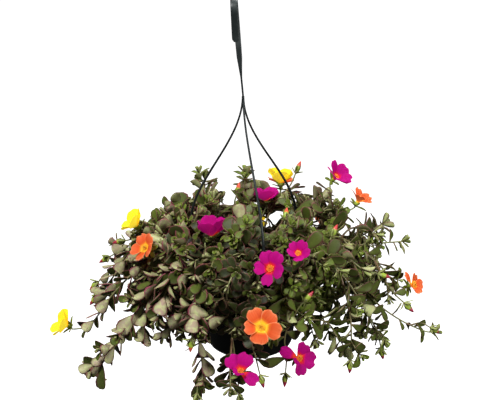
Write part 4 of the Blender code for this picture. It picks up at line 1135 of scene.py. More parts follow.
@dataclass(frozen=True)
class Bloom:
    """One bloom: its colour, seat, facing in degrees, radius, and how far its petals rise.

    Its seat is (azimuth in degrees, reach from the axis, height over the rim), the last two in millimetres.
    Curl is how much its petals flatten from foot to tip, in degrees, below zero for those that close to a
    bowl, and ruffle is how wavy and notched their edges are. Its petals stand 72 degrees apart from a first
    turn, or as rows of their own say: turn, rise, and length and width as shares of the radius.
    """

    number: int
    colour: PetalColour
    seat: Point
    facing: Pair
    radius: float
    rise: float
    turn: float = 54.0
    width: float = 1.1
    curl: float = 38.0
    ruffle: float = 1.0
    rows: tuple[tuple[float, float, float, float], ...] = ()

    def frame(self) -> Frame:
        """Seat, facing, and two vectors square to it: one level, and one as upright as can be."""
        axis = direction(*self.facing)
        return spot(*self.seat), axis, *square_frame(axis, np.array((0.0, 0.0, 1.0)))

    def row(self, petal: int) -> tuple[float, float, float, float]:
        """Form of one petal, a little unlike the others where the bloom has no rows.

        Args:
            petal: Number of the petal, from 0.

        Returns:
            Its turn and rise in degrees, and its length and width as shares of the radius.
        """
        if self.rows:
            return self.rows[petal]
        mark = self.number * 5 + petal
        reach = (1.0 + 0.06 * wobble(2 * mark)) / max(math.cos(math.radians(self.rise)), 0.66)
        return (self.turn + 72.0 * petal + 4.0 * wobble(mark), self.rise + 5.0 * wobble(4 * mark), reach,
                self.width * (1.0 + 0.05 * wobble(6 * mark)))

    def petal_points(self, petal: int) -> Frame:
        """One petal as a thin flattened tube.

        A point is at a share along the petal and at the cosine of its angle round the section across it.
        Along the petal its rise falls by an even turn, so its run is the integral of the rise's cosine
        and sine. Its half width grows as a quarter sine wave. Its end is drawn in at the shoulders by a
        power of the share across and at the notch by a bell curve, and its edge is ruffled by a sine.

        Args:
            petal: Number of the petal, from 0.

        Returns:
            Points as (rings, around, 3), and the shares along, across and side of each.
        """
        seat, axis, across, up = self.frame()
        seat = seat + axis * PETAL.hub
        mark = self.number * 5 + petal
        turn, rise, long, broad = self.row(petal)
        length = long * self.radius
        outward = leant(across, up, turn)
        level = np.cross(axis, outward)
        u = np.array(PETAL.rings)[:, None]
        phi = circle(PETAL.around)
        v = np.cos(phi)
        notch = self.ruffle * (PETAL.notch[0] + PETAL.notch[1] * wobble(3 * mark))
        pull = u * u * (PETAL.shoulder * np.abs(v) ** 2.6 + notch * np.exp(-(v / PETAL.notch_width) ** 2))
        share = u * (1.0 - pull)
        first, last = math.radians(rise + 0.52 * self.curl), math.radians(rise - 0.48 * self.curl)
        lean = first + (last - first) * share
        run = length * (np.sin(lean) - math.sin(first)) / (last - first)
        climb = -length * (np.cos(lean) - math.cos(first)) / (last - first)
        swell = np.sin(0.5 * np.pi * np.minimum(u / PETAL.widest, 1.0)) ** 1.2
        wide = 0.5 * broad * self.radius * (PETAL.foot + (1.0 - PETAL.foot) * swell) * v
        thick = PETAL.thick * np.sin(phi) * np.sqrt(1.0 - 0.75 * u ** 4)
        lift = (thick + PETAL.cup * wide ** 2 / self.radius * (0.35 - 0.5 * u) + wide * math.sin(PETAL.twist)
                + PETAL.wave * self.ruffle * self.radius * share ** 3 * np.sin(7.0 * v + 3.0 * mark)
                - PETAL.crease * self.ruffle * self.radius * np.exp(-(v / PETAL.crease_width) ** 2) * u)
        points = (seat + outward * (PETAL.hub + run - lift * np.sin(lean))[..., None]
                  + axis * (climb + lift * np.cos(lean))[..., None]
                  + level * (wide * math.cos(PETAL.twist))[..., None])
        shape = points.shape[:2]
        return points, share, np.broadcast_to(v, shape), np.broadcast_to(np.sin(phi), shape)

    def make_petals(self, material: Material) -> None:
        """Make the five petals and the hub under them as one piece.

        Args:
            material: Material of the petals.
        """
        shape = Shape(names=("along", "across", "side", "tone"))
        for petal in range(5):
            points, *shares = self.petal_points(petal)
            along, across, side = (share.reshape(1, -1) for share in shares)
            shape.add(points.reshape(1, -1, 3), sheet_faces(*points.shape[:2]), along=along, across=across,
                      side=side, tone=(self.number * 0.37 + petal * 0.173) % 1.0)
        seat, axis, across, up = self.frame()
        line = seat + axis * np.array((0.0002, 0.0008, 0.0016, 0.0021))[:, None]
        hub = tube_points(line, across, up, np.array((0.002, 0.0027, 0.0026, 0.0016)), 12)
        shape.add_pods(hub, seat + axis * 0.0023, along=0.03, side=1.0)
        name = f"bloom_{self.number:02d}"
        shape.make(f"{name}_silk", [material], self.colour.slot(), [f"{name}_petals"])

    def make_stamens(self, material: Material) -> None:
        """Make the threads and their anthers as one piece.

        A thread leans out by a share of its place in the crown and bends on along its length, so its
        points are the base plus the axis times the height and the outward vector times a power of it.

        Args:
            material: Material of the stamens.
        """
        seat, axis, across, up = self.frame()
        base = seat + axis * STAMENS.base
        scale = min(1.0, self.radius / STAMENS.full_radius)
        order = np.arange(STAMENS.count)
        ring = np.sqrt((order + 0.5) / STAMENS.count)
        outward = spokes(across, up, order * math.radians(LEAF_TURN))
        tall = STAMENS.tall * scale * (1.0 - 0.25 * ring + 0.12 * np.sin(order * 2.4))
        share = np.linspace(0.0, 1.0, len(STAMENS.threads))
        spread = STAMENS.ring * ring[:, None] + STAMENS.spread * scale * ring[:, None] * share ** 1.6
        line = base + axis * (tall[:, None] * share)[..., None] + outward[:, None] * spread[..., None]
        axes = unit(np.gradient(line, axis=1))
        side = unit(np.cross(axes, axis + 0.01 * up))
        threads = tube_points(line, side, np.cross(axes, side), np.array(STAMENS.threads), 4)
        shape = Shape(names=("along", "young"))
        shape.add_pods(threads, line[:, -1] + axes[:, -1] * 0.0001, along=by_ring(share, 4))
        lean = unit(np.cross(axes[:, -1], axis + 0.3 * outward))
        ends = line[:, -1, None]
        bead = ends + lean[:, None] * (STAMENS.anther_half * np.array(STAMENS.anther_places))[:, None]
        beads = tube_points(bead, axes[:, -1:], np.cross(lean, axes[:, -1])[:, None],
                            np.array(STAMENS.anther_radii), 5)
        shape.add_pods(beads, ends + lean[:, None] * STAMENS.anther_end, young=1.0)
        name = f"bloom_{self.number:02d}"
        shape.make(f"{name}_stamens", [material], "stamens", [f"{name}_centre"])


BLOOMS = (
    Bloom(1, MAGENTA, (29, 124, 77), (325, 50), 0.019, 40, turn=10, width=0.98),
    Bloom(2, ORANGE, (16, 143, 52), (0, 60), 0.017, 38, turn=18, width=0.85),
    Bloom(3, YELLOW, (67, 103, 58), (90, 80), 0.016, 54, turn=90, width=1.4, curl=-24, ruffle=0.3),
    Bloom(4, ORANGE, (72, 135, 42), (80, 72), 0.018, 28),
    Bloom(5, MAGENTA, (70, 59, 48), (90, 80), 0.017, 42, turn=90, width=1.35, curl=-28, ruffle=0.4),
    Bloom(6, MAGENTA, (212, 56, 34), (100, 80), 0.018, 56, width=1.4, curl=-24, ruffle=0.7),
    Bloom(7, ORANGE, (206, 139, 30), (215, 38), 0.019, 22, turn=0, width=0.9),
    Bloom(8, YELLOW, (182, 141, 38), (185, 45), 0.016, 42, turn=18, width=1.3, curl=-16, ruffle=0.3),
    Bloom(9, MAGENTA, (281, 125, 31), (262, 35), 0.021, 18, rows=(
        (108, 18, 1.06, 0.88), (60, 18, 1.08, 0.82), (342, 20, 0.82, 0.86), (182, 18, 0.96, 0.82),
        (261, 14, 1.08, 0.7))),
    Bloom(10, MAGENTA, (301, 111, 37), (270, 55), 0.014, 40, width=1.0),
    Bloom(11, ORANGE, (356, 205, -40), (332, 32), 0.018, 35, rows=(
        (110, 8, 1.12, 0.92), (40, 28, 0.9, 0.76), (330, 36, 0.92, 0.8), (258, 32, 0.9, 0.84),
        (184, 28, 0.72, 0.72))),
    Bloom(12, YELLOW, (197, 236, -70), (188, 32), 0.017, 40, turn=18, width=1.2, curl=-10, ruffle=0.3),
    Bloom(13, ORANGE, (275, 151, -31), (268, 30), 0.022, 14, rows=(
        (118, 12, 1.12, 0.94), (50, 12, 1.06, 0.94), (344, 12, 1.16, 0.96), (261, 14, 0.96, 1.02),
        (182, 14, 0.96, 0.82))),
    Bloom(14, MAGENTA, (265, 131, -102), (268, 50), 0.021, 25, rows=(
        (130, 22, 1.2, 1.02), (68, 22, 1.2, 0.98), (326, 5, 1.22, 0.8), (258, 58, 0.6, 0.6),
        (196, 50, 0.62, 0.6))),
    Bloom(15, MAGENTA, (297, 126, -92), (310, 24), 0.022, 25, rows=(
        (135, -20, 1.12, 0.74), (46, 20, 0.96, 1.08), (332, 20, 1.08, 1.02), (262, 5, 1.0, 0.74),
        (200, 35, 0.6, 0.55))),
    Bloom(16, MAGENTA, (125, 150, -12), (120, 40), 0.02, 25),
    Bloom(17, YELLOW, (88, 175, -35), (85, 35), 0.018, 22),
    Bloom(18, ORANGE, (52, 165, -20), (48, 36), 0.019, 22),
)

# Blooms up to this number are in front, and nothing grows between them and the camera
LAST_IN_FRONT = 15


# Plant


# Share of taken points that stands for a barred cell, and crowd of a leaf that may grow in spite of one
BARRED = 2.0


class Room:
    """The space of the mound in small cells, each free, taken by a leaf or barred to all."""

    low: Array = np.array((-0.25, -0.18, -0.16))
    high: Array = np.array((0.25, 0.195, 0.14))
    cell: float = 0.003
    step: float = 0.002

    def __init__(self) -> None:
        """Start with every cell free."""
        self.taken = np.zeros(np.ceil((self.high - self.low) / self.cell).astype(int) + 1, bool)
        self.barred = self.taken.copy()

    def cells(self, points: Array) -> tuple[Array, ...]:
        """Indices of the cells that points lie in, kept inside the space."""
        index = ((points.reshape(-1, 3) - self.low) / self.cell).astype(int)
        return tuple(np.clip(index, 0, np.array(self.taken.shape) - 1).T)

    def share(self, points: Array) -> float:
        """Share of the points whose cells are taken, or the number for barred where any is."""
        cells = self.cells(points)
        return BARRED if self.barred[cells].any() else float(self.taken[cells].mean())

    def take(self, points: Array) -> None:
        """Take the cells of points."""
        self.taken[self.cells(points)] = True

    def bar(self, points: Array) -> None:
        """Bar the cells of points."""
        self.barred[self.cells(points)] = True

    def bar_column(self, start: Array, way: Array, length: float, radius: float) -> None:
        """Bar a column of cells.

        Args:
            start: Middle of its foot.
            way: Unit vector along it.
            length: Its length.
            radius: Its radius.
        """
        across, up = square_frame(way, np.array((0.1, 0.2, 1.0)))
        reach = np.arange(0.0, radius + 0.001, self.step)
        turn = np.linspace(0.0, 2 * np.pi, 24, endpoint=False)
        disc = (spokes(across, up, turn)[None] * reach[:, None, None]).reshape(-1, 3)
        steps = np.arange(0.0, length, self.step)
        self.bar(start + disc[None] + way * steps[:, None, None])


@dataclass(frozen=True)
class LeafForm:
    """Form of a kind of leaf: where its rings stand, the angles round its section, its outline and its foot.

    Swell and blunt shape the outline. Petiole and thick are half its least width and half its thickness.
    """

    rings: tuple[float, ...]
    angles: tuple[float, ...]
    swell: float
    blunt: float
    petiole: float
    thick: float

    def outline(self, share: Array) -> Array:
        """Half width over the greatest: share to the swell times the root of 1 - share to the blunt."""
        fine = np.linspace(0.0, 1.0, 201)
        most = np.max(fine ** self.swell * np.sqrt(1.0 - fine ** self.blunt))
        return share ** self.swell * np.sqrt(np.clip(1.0 - share ** self.blunt, 0.0, 1.0)) / most


GROWN = LeafForm((0.0, 0.2, 0.42, 0.64, 0.84, 0.96), (0, 40, 90, 140, 180, 220, 270, 320),
                 swell=0.88, blunt=3.1, petiole=0.001, thick=0.0009)
SMALL = LeafForm((0.0, 0.3, 0.6, 0.84, 0.96), (0, 55, 90, 125, 180, 270),
                 swell=0.8, blunt=3.0, petiole=0.0008, thick=0.0008)
LANCE = LeafForm((0.0, 0.22, 0.5, 0.78, 0.94), (0, 55, 90, 125, 180, 270),
                 swell=0.55, blunt=1.5, petiole=0.0008, thick=0.0006)

# Numbers of the plant's finishes, and of the values in a leaf's row
LEAF, STALK, BUD = range(3)
PLACE, ALONG, NORMAL = slice(0, 3), slice(3, 6), slice(6, 9)
LENGTH, WIDTH, BEND, CUP, TONE, BLUSH, YOUNG = range(9, 16)

# Places on a leaf whose room is tried before it grows: shares along it and angles round it
PROBE_RINGS = np.array((0.3, 0.46, 0.62, 0.78, 0.95))
PROBE_ANGLES = np.radians((0.0, 62.0, 90.0, 118.0, 180.0))


def leaf_points(form: LeafForm, rows: Array, rings: Array, angles: Array, thick: float) -> Array:
    """Points of leaves.

    Across the leaf a point is at the half width times the cosine of its angle, and over it at the
    thickness times the sine, plus the cup times the square of the share across. The middle line bends
    down by an even turn, so it runs as sine and falls as one less cosine of the bend.

    Args:
        form: Form of the leaves.
        rows: One row of numbers for each leaf.
        rings: Shares along the leaf.
        angles: Angles round its section, in radians.
        thick: Half thickness.

    Returns:
        Points, as (leaves, rings, angles, 3).
    """
    half = np.maximum(form.outline(rings) * rows[:, WIDTH, None] / 2, form.petiole * (1.0 - 0.9 * rings))
    wide = half[..., None] * np.cos(angles)
    over = (thick * (1.0 - 0.45 * rings ** 3))[:, None] * np.sin(angles)
    over = over + rows[:, CUP, None, None] * wide ** 2 / rows[:, WIDTH, None, None]
    bend = np.where(np.abs(rows[:, BEND]) < 1e-3, 1e-3, rows[:, BEND])[:, None]
    turn = bend * rings
    reach = (rows[:, LENGTH, None] * np.sin(turn) / bend)[..., None] + over * np.sin(turn)[..., None]
    fall = (rows[:, LENGTH, None] * (1.0 - np.cos(turn)) / bend)[..., None] - over * np.cos(turn)[..., None]
    along, normal = rows[:, None, None, ALONG], rows[:, None, None, NORMAL]
    points = rows[:, None, None, PLACE] + along * reach[..., None] - normal * fall[..., None]
    return points + np.cross(normal, along) * wide[..., None]


@dataclass(frozen=True)
class Habit:
    """How a shoot carries its leaves: their spacing, size, spread, turn to the light, colour and form."""

    spacing: float = 0.0066
    length: float = 0.0265
    spread: float = 64.0
    light: float = 0.75
    blush: float = 0.35
    tone: float = 0.45
    young: float = 0.0
    bend: float = 0.25
    broad: float = 0.555


# Shoots whose leaves lie along them like tiles, undersides out, or open to the light, sparse or dark
# The shaded habit's low tone is painted shade in the mound's middle, and the slight habit's high tone, used
# mostly on the right, is painted light.
TILED = Habit(spacing=0.0062, length=0.0275, spread=44.0, light=0.12, blush=0.7, bend=-0.15, broad=0.68)
OPEN = Habit(length=0.028, broad=0.58)
SLIGHT = Habit(spacing=0.0074, length=0.027, light=0.6, blush=0.25, tone=0.8, broad=0.6)
SHADED = Habit(spacing=0.0056, length=0.022, tone=0.04, blush=0.28)


@dataclass(frozen=True)
class Variety:
    """How unlike one another the leaves along a shoot are: spreads about a middle value, and even ranges.

    Taper is how much smaller and closer they get to the tip, shy how far they shrink back from the light,
    lit the share of them that keep their shoot's turn to it, and aside the turns by which one may dodge.
    """

    length: float = 0.11
    lean: float = 8.0
    turn: float = 9.0
    bend: float = 0.15
    tone: float = 0.22
    blush: float = 0.15
    width: Pair = (0.9, 1.1)
    cup: Pair = (0.15, 0.9)
    spacing: Pair = (0.85, 1.2)
    light: Pair = (0.3, 0.9)
    lit: float = 0.75
    shy: float = 0.6
    taper: float = 0.3
    aside: tuple[float, ...] = (0.0, 35.0, -35.0, 70.0, -70.0)


VARIETY = Variety()


def habit_at(end: Array, chance: float) -> Habit:
    """Habit of a shoot by where it ends: slight on the right, tiled mostly on the left, dark in the middle.

    Args:
        end: End of the shoot.
        chance: Random number from 0 to 1.

    Returns:
        The habit.
    """
    if end[2] < 0.01 and end[0] > (0.03 if end[2] < 0.0 else 0.09):
        return SLIGHT
    if abs(end[0] + 0.01) < 0.065 and end[1] < 0.0 and end[2] < 0.05 and chance < 0.85:
        return SHADED
    tiled = (0.75 if end[2] < 0.01 else 0.6) if end[0] < -0.015 else 0.3 if end[1] > 0.0 else 0.08
    return TILED if chance < tiled else OPEN


class Sprig:
    """The stems, leaves and buds of one piece of the plant."""

    def __init__(self, room: Room, seed: int) -> None:
        """Start an empty piece.

        Args:
            room: Space that the leaves share.
            seed: Seed of the piece's own random numbers.
        """
        self.room = room
        self.rng = np.random.default_rng(seed)
        self.shape = Shape()
        self.rows: dict[LeafForm, list[Array]] = {}

    def near(self, middle: float, spread: float) -> float:
        """Random value about a middle one, kept from 0 to 1."""
        return np.clip(self.rng.normal(middle, spread), 0.0, 1.0)

    def stalk(self, path: Path, radii: Pair, blush: Pair, around: int = 7) -> None:
        """Add a round stem along a path, closed at its root and drawn to a point at its end.

        Args:
            path: Line of the stem.
            radii: Its radius at its root and at its end.
            blush: Its blush at its root and at its end.
            around: Points on a ring.
        """
        share = path.run / path.length
        radius = radii[0] + (radii[1] - radii[0]) * share
        flush = blush[0] + (blush[1] - blush[0]) * share
        rings = tube_points(path.points, np.cross(path.ups, path.axes), path.ups, radius, around)
        tip = path.points[-1] + path.axes[-1] * radius[-1]
        self.shape.add_pods(rings, tip, STALK, along=by_ring(share, around),
                            blush=by_ring(flush, around, blush[1]))

    def leaf(self, form: LeafForm, place: Array, along: Array, normal: Array, sizes: Sequence[float],
             crowd: float = 0.4) -> bool:
        """Add a leaf where there is room for it.

        Args:
            form: Form of the leaf.
            place: Where it grows from.
            along: Unit vector along it.
            normal: Vector that its upper side faces.
            sizes: Its length, width, bend, cup, tone, blush and youth.
            crowd: Share of its points that may lie in taken cells, or the number for barred cells as well.

        Returns:
            Whether it was added.
        """
        normal = unit(normal - along * np.dot(normal, along))
        row = np.concatenate((place, along, normal, sizes))
        probe = leaf_points(form, row[None], PROBE_RINGS, PROBE_ANGLES, 0.0)
        if self.room.share(probe) > crowd:
            return False
        self.rows.setdefault(form, []).append(row)
        self.room.take(probe)
        return True

    def sky(self, point: Array) -> Array:
        """Way to the light at a point: away from the mound's heart, up and, in its front part, forwards."""
        front = FRONT_PULL * min(1.0, max(0.0, 1.0 - point[1] / FRONT_DEPTH))
        return unit(unit(point - MOUND_HEART) + np.array((0.0, -front, SKY_PULL)))

    def clothe(self, path: Path, radius: float, habit: Habit, start: float, end: float) -> None:
        """Set leaves along a path, each a golden turn on from the last, smaller towards the tip.

        Args:
            path: Line of the stem.
            radius: Radius of the stem.
            habit: How it carries its leaves.
            start: Distance of the first leaf.
            end: Distance after which none stands.
        """
        rng = self.rng
        angle = rng.uniform(0.0, 360.0)
        distance = start
        while distance < end:
            share = (distance - start) / max(end - start, 1e-6)
            length = habit.length * (1.0 - VARIETY.taper * share ** 2) * rng.normal(1.0, VARIETY.length)
            point, axis, across, up = path.at(distance)
            sky = self.sky(point)
            for aside in VARIETY.aside:
                outward = leant(across, up, angle + aside)
                along = leant(axis, outward, habit.spread + rng.normal(0.0, VARIETY.lean))
                along = unit(along - sky * (VARIETY.shy * habit.light * max(0.0, np.dot(along, sky))))
                upper = unit(axis - along * np.dot(axis, along))
                lit = sky - along * np.dot(sky, along)
                light = habit.light if rng.uniform() < VARIETY.lit else rng.uniform(*VARIETY.light)
                normal = upper * (1.0 - light) + lit * light
                sizes = (length, length * habit.broad * rng.uniform(*VARIETY.width),
                         rng.normal(habit.bend, VARIETY.bend), rng.uniform(*VARIETY.cup),
                         self.near(habit.tone, VARIETY.tone), self.near(habit.blush, VARIETY.blush),
                         habit.young * share)
                if self.leaf(GROWN, point + outward * radius * 0.5, along, normal, sizes):
                    break
            angle += LEAF_TURN + rng.normal(0.0, VARIETY.turn)
            distance += habit.spacing * (1.0 - VARIETY.taper * share) * rng.uniform(*VARIETY.spacing)

    def rosette(self, path: Path, size: float, count: int, habit: Habit, open_to: float = 70.0) -> None:
        """Crown a shoot with a tight turn of small leaves, the outer wide open and the inner upright.

        Args:
            path: Line of the shoot.
            size: Length of the outermost leaf.
            count: Number of leaves.
            habit: How the shoot carries its leaves.
            open_to: Lean of the outermost leaf from the axis, in degrees.
        """
        rng = self.rng
        angle = rng.uniform(0.0, 360.0)
        for number in range(count):
            share = number / max(count - 1, 1)
            point, axis, across, up = path.at(path.length - 0.006 * (1 - share))
            lean = open_to + (14.0 - open_to) * share + rng.normal(0.0, 5.0)
            along = leant(axis, leant(across, up, angle), lean)
            length = size * (1.0 - 0.62 * share) * rng.uniform(0.9, 1.1)
            young = 0.18 + 0.45 * habit.tone + (0.15 + 0.7 * habit.tone) * share
            sizes = (length, length * rng.uniform(0.5, 0.6), rng.uniform(-0.5, 0.1), rng.uniform(0.4, 1.1),
                     self.near(habit.tone, 0.2), habit.blush * 0.7, np.clip(young, 0.0, 1.0))
            self.leaf(SMALL, point, along, axis, sizes, crowd=1.0 if number else 0.5)
            angle += LEAF_TURN + rng.normal(0.0, 7.0)

    def side_shoots(self, path: Path, habit: Habit, start: float, full: float) -> None:
        """Let short shoots grow from the joints of a stem, where their ends are free.

        Args:
            path: Line of the stem.
            habit: How they carry their leaves.
            start: Distance along the stem of the first.
            full: How many there are, as a share of a full set.
        """
        rng = self.rng
        habit = replace(habit, length=0.0205, spacing=0.006, young=0.6 * habit.tone)
        radii = (0.001, 0.0007)
        distance = start
        while distance < path.length - 0.016:
            point, axis, across, up = path.at(distance)
            sky = self.sky(point)
            turn = rng.uniform(0.0, 2 * math.pi)
            outward = unit(across * math.cos(turn) + up * math.sin(turn) + sky * 0.5)
            reach = rng.uniform(0.016, 0.032)
            way = unit(axis * 0.75 + outward * 0.8)
            bend = point + way * 0.45 * reach
            shoot = Path([point, bend, bend + unit(way + sky * 0.35) * 0.55 * reach], 0.002)
            distance += rng.uniform(0.014, 0.024) / full
            if self.room.share(shoot.points[-3:]) > 0.4:
                continue
            self.stalk(shoot, radii, (0.6, 0.1), 6)
            self.clothe(shoot, radii[0], habit, 0.005, shoot.length - 0.004)
            self.rosette(shoot, 0.014, 7, habit)

    def bracts(self, path: Path, spread: float) -> None:
        """Set four lance-shaped bracts round the end of a stalk.

        Args:
            path: Line of the stalk.
            spread: Their lean from it, in degrees.
        """
        rng = self.rng
        point, axis, across, up = path.at(path.length - 0.0015)
        start = rng.uniform(0.0, 360.0)
        for number in range(4):
            outward = leant(across, up, start + 90.0 * number + rng.normal(0.0, 8.0))
            along = leant(axis, outward, spread + rng.normal(0.0, 10.0))
            size = 0.0115 * rng.uniform(0.8, 1.15)
            sizes = (size, size * 0.42, rng.normal(-0.1, 0.2), 0.6, rng.uniform(0.5, 1.0), 0.2, 0.85)
            self.leaf(LANCE, point, along, axis, sizes, crowd=BARRED)

    def bud(self, point: Array, axis: Array, tint: float, length: float = 0.0165,
            radius: float = 0.0034) -> None:
        """Add a pointed bud with five soft folds that wind round it, and two sepals that hug its foot.

        Args:
            point: Its foot.
            axis: Unit vector along it.
            tint: Its colour, from 0 for crimson to 1 for orange.
            length: Its length.
            radius: Its greatest radius.
        """
        across, up = square_frame(axis, np.array((0.3, 0.1, 1.0)))
        share = np.array((0.0, 0.08, 0.22, 0.4, 0.58, 0.75, 0.88, 0.96))
        turn = circle(10)
        around = np.sin(np.pi * np.minimum(share, 0.999) ** 0.72) ** 0.8
        radii = radius * np.maximum(around, 0.3 * (1.0 - share))
        folds = 1.0 + 0.1 * np.sin(5 * turn + 5.0 * share[:, None])
        ring = spokes(across, up, turn) * (radii[:, None] * folds)[..., None]
        rings = (point + axis * (length * share)[:, None])[:, None] + ring
        tip = point + axis * length
        self.shape.add_pods(rings, tip, BUD, along=by_ring(share, len(turn)), tone=tint)
        self.room.take(np.vstack((rings.reshape(-1, 3), tip)))
        for way in (across, -across):
            self.leaf(LANCE, point + way * radius * 0.55, unit(axis + way * 0.1), -way,
                      (0.62 * length, radius * 2.6, -0.15, 1.6, 0.7, 0.1, 0.85), crowd=BARRED)

    def calyx(self, bloom: Bloom) -> None:
        """Add the small cup and the five bracts that a bloom sits on.

        Args:
            bloom: The bloom.
        """
        seat, axis, across, up = bloom.frame()
        line = seat + axis * np.array((-0.0062, -0.005, -0.0034, -0.0016, 0.0004, 0.001))[:, None]
        radii = np.array((0.0008, 0.0013, 0.0021, 0.0026, 0.0026, 0.0014))
        self.shape.add_pods(tube_points(line, across, up, radii, 12), seat + axis * 0.0012, BUD, along=0.1)
        lowest = min(bloom.row(petal)[1] for petal in range(5))
        for number in range(5):
            outward = leant(across, up, LEAF_TURN * number + 40.0 * wobble(bloom.number))
            along = leant(axis, outward, 106.0 - lowest + 9.0 * wobble(bloom.number * 7 + number))
            size = 0.0135 * (1.0 + 0.22 * wobble(bloom.number * 3 + number))
            self.leaf(LANCE, seat - axis * 0.0052, along, axis, (size, size * 0.46, 0.1, 0.6, 0.6, 0.2, 0.6),
                      crowd=BARRED)

    def make(self, name: str, materials: Sequence[Material], replaces: Sequence[str]) -> None:
        """Put the whole piece into its mesh.

        Args:
            name: Name of the piece.
            materials: Materials of leaves, stems and buds.
            replaces: Nodes that it stands for.
        """
        for form, rows in self.rows.items():
            table = np.array(rows)
            rings, angles = np.array(form.rings), np.radians(form.angles)
            points = leaf_points(form, table, rings, angles, form.thick)
            tips = leaf_points(form, table, np.array([1.0]), np.array([0.5 * np.pi]), 0.0)
            side = np.append(np.tile(np.sin(angles), len(rings)), 0.0)
            self.shape.add_pods(points, tips, LEAF, along=by_ring(rings, len(angles)), side=side[None],
                                tone=table[:, TONE, None], blush=table[:, BLUSH, None],
                                young=table[:, YOUNG, None])
        self.shape.make(name, materials, "foliage", replaces)


class End(Enum):
    """What a branch without a bloom ends in."""

    LEAVES = "leaves"
    BUD = "bud"


@dataclass(frozen=True)
class Branch:
    """A branch from a share of the stem's first branch, through points, to its end.

    Its points, as a bloom's seat, are (azimuth in degrees, reach, height over the rim) in millimetres. An
    end that is a number is a bloom's. Bare is the share of the branch below its first leaf.
    """

    fork: float
    way: tuple[Point, ...]
    end: End | int = End.LEAVES
    bare: float = 0.15


@dataclass(frozen=True)
class Stem:
    """One rooted stem: its name, its hole in the soil as (azimuth, reach in millimetres), and its branches.

    Full is its share of a full set of side shoots, and tint the colour of its buds, from 0 for crimson to 1
    for orange. A stem with a habit carries all its leaves that way.
    """

    name: str
    hole: Pair
    branches: tuple[Branch, ...]
    full: float = 1.0
    tint: float = 0.0
    habit: Habit | None = None

    def paths(self) -> list[Path]:
        """Path of every branch, the first from its hole in the soil and the others from their forks.

        Returns:
            The paths, in the order of the branches.
        """
        paths: list[Path] = []
        for branch in self.branches:
            way = [spot(*point) for point in branch.way]
            if paths:
                start = [paths[0].at(branch.fork * paths[0].length)[0]]
            else:
                start = [spot(*self.hole, height) for height in (-20, -8, 3)]
            if isinstance(branch.end, int):
                seat, axis, _, _ = BLOOMS[branch.end - 1].frame()
                way += [seat - axis * 0.009, seat - axis * 0.001]
            paths.append(Path(start + way))
        return paths


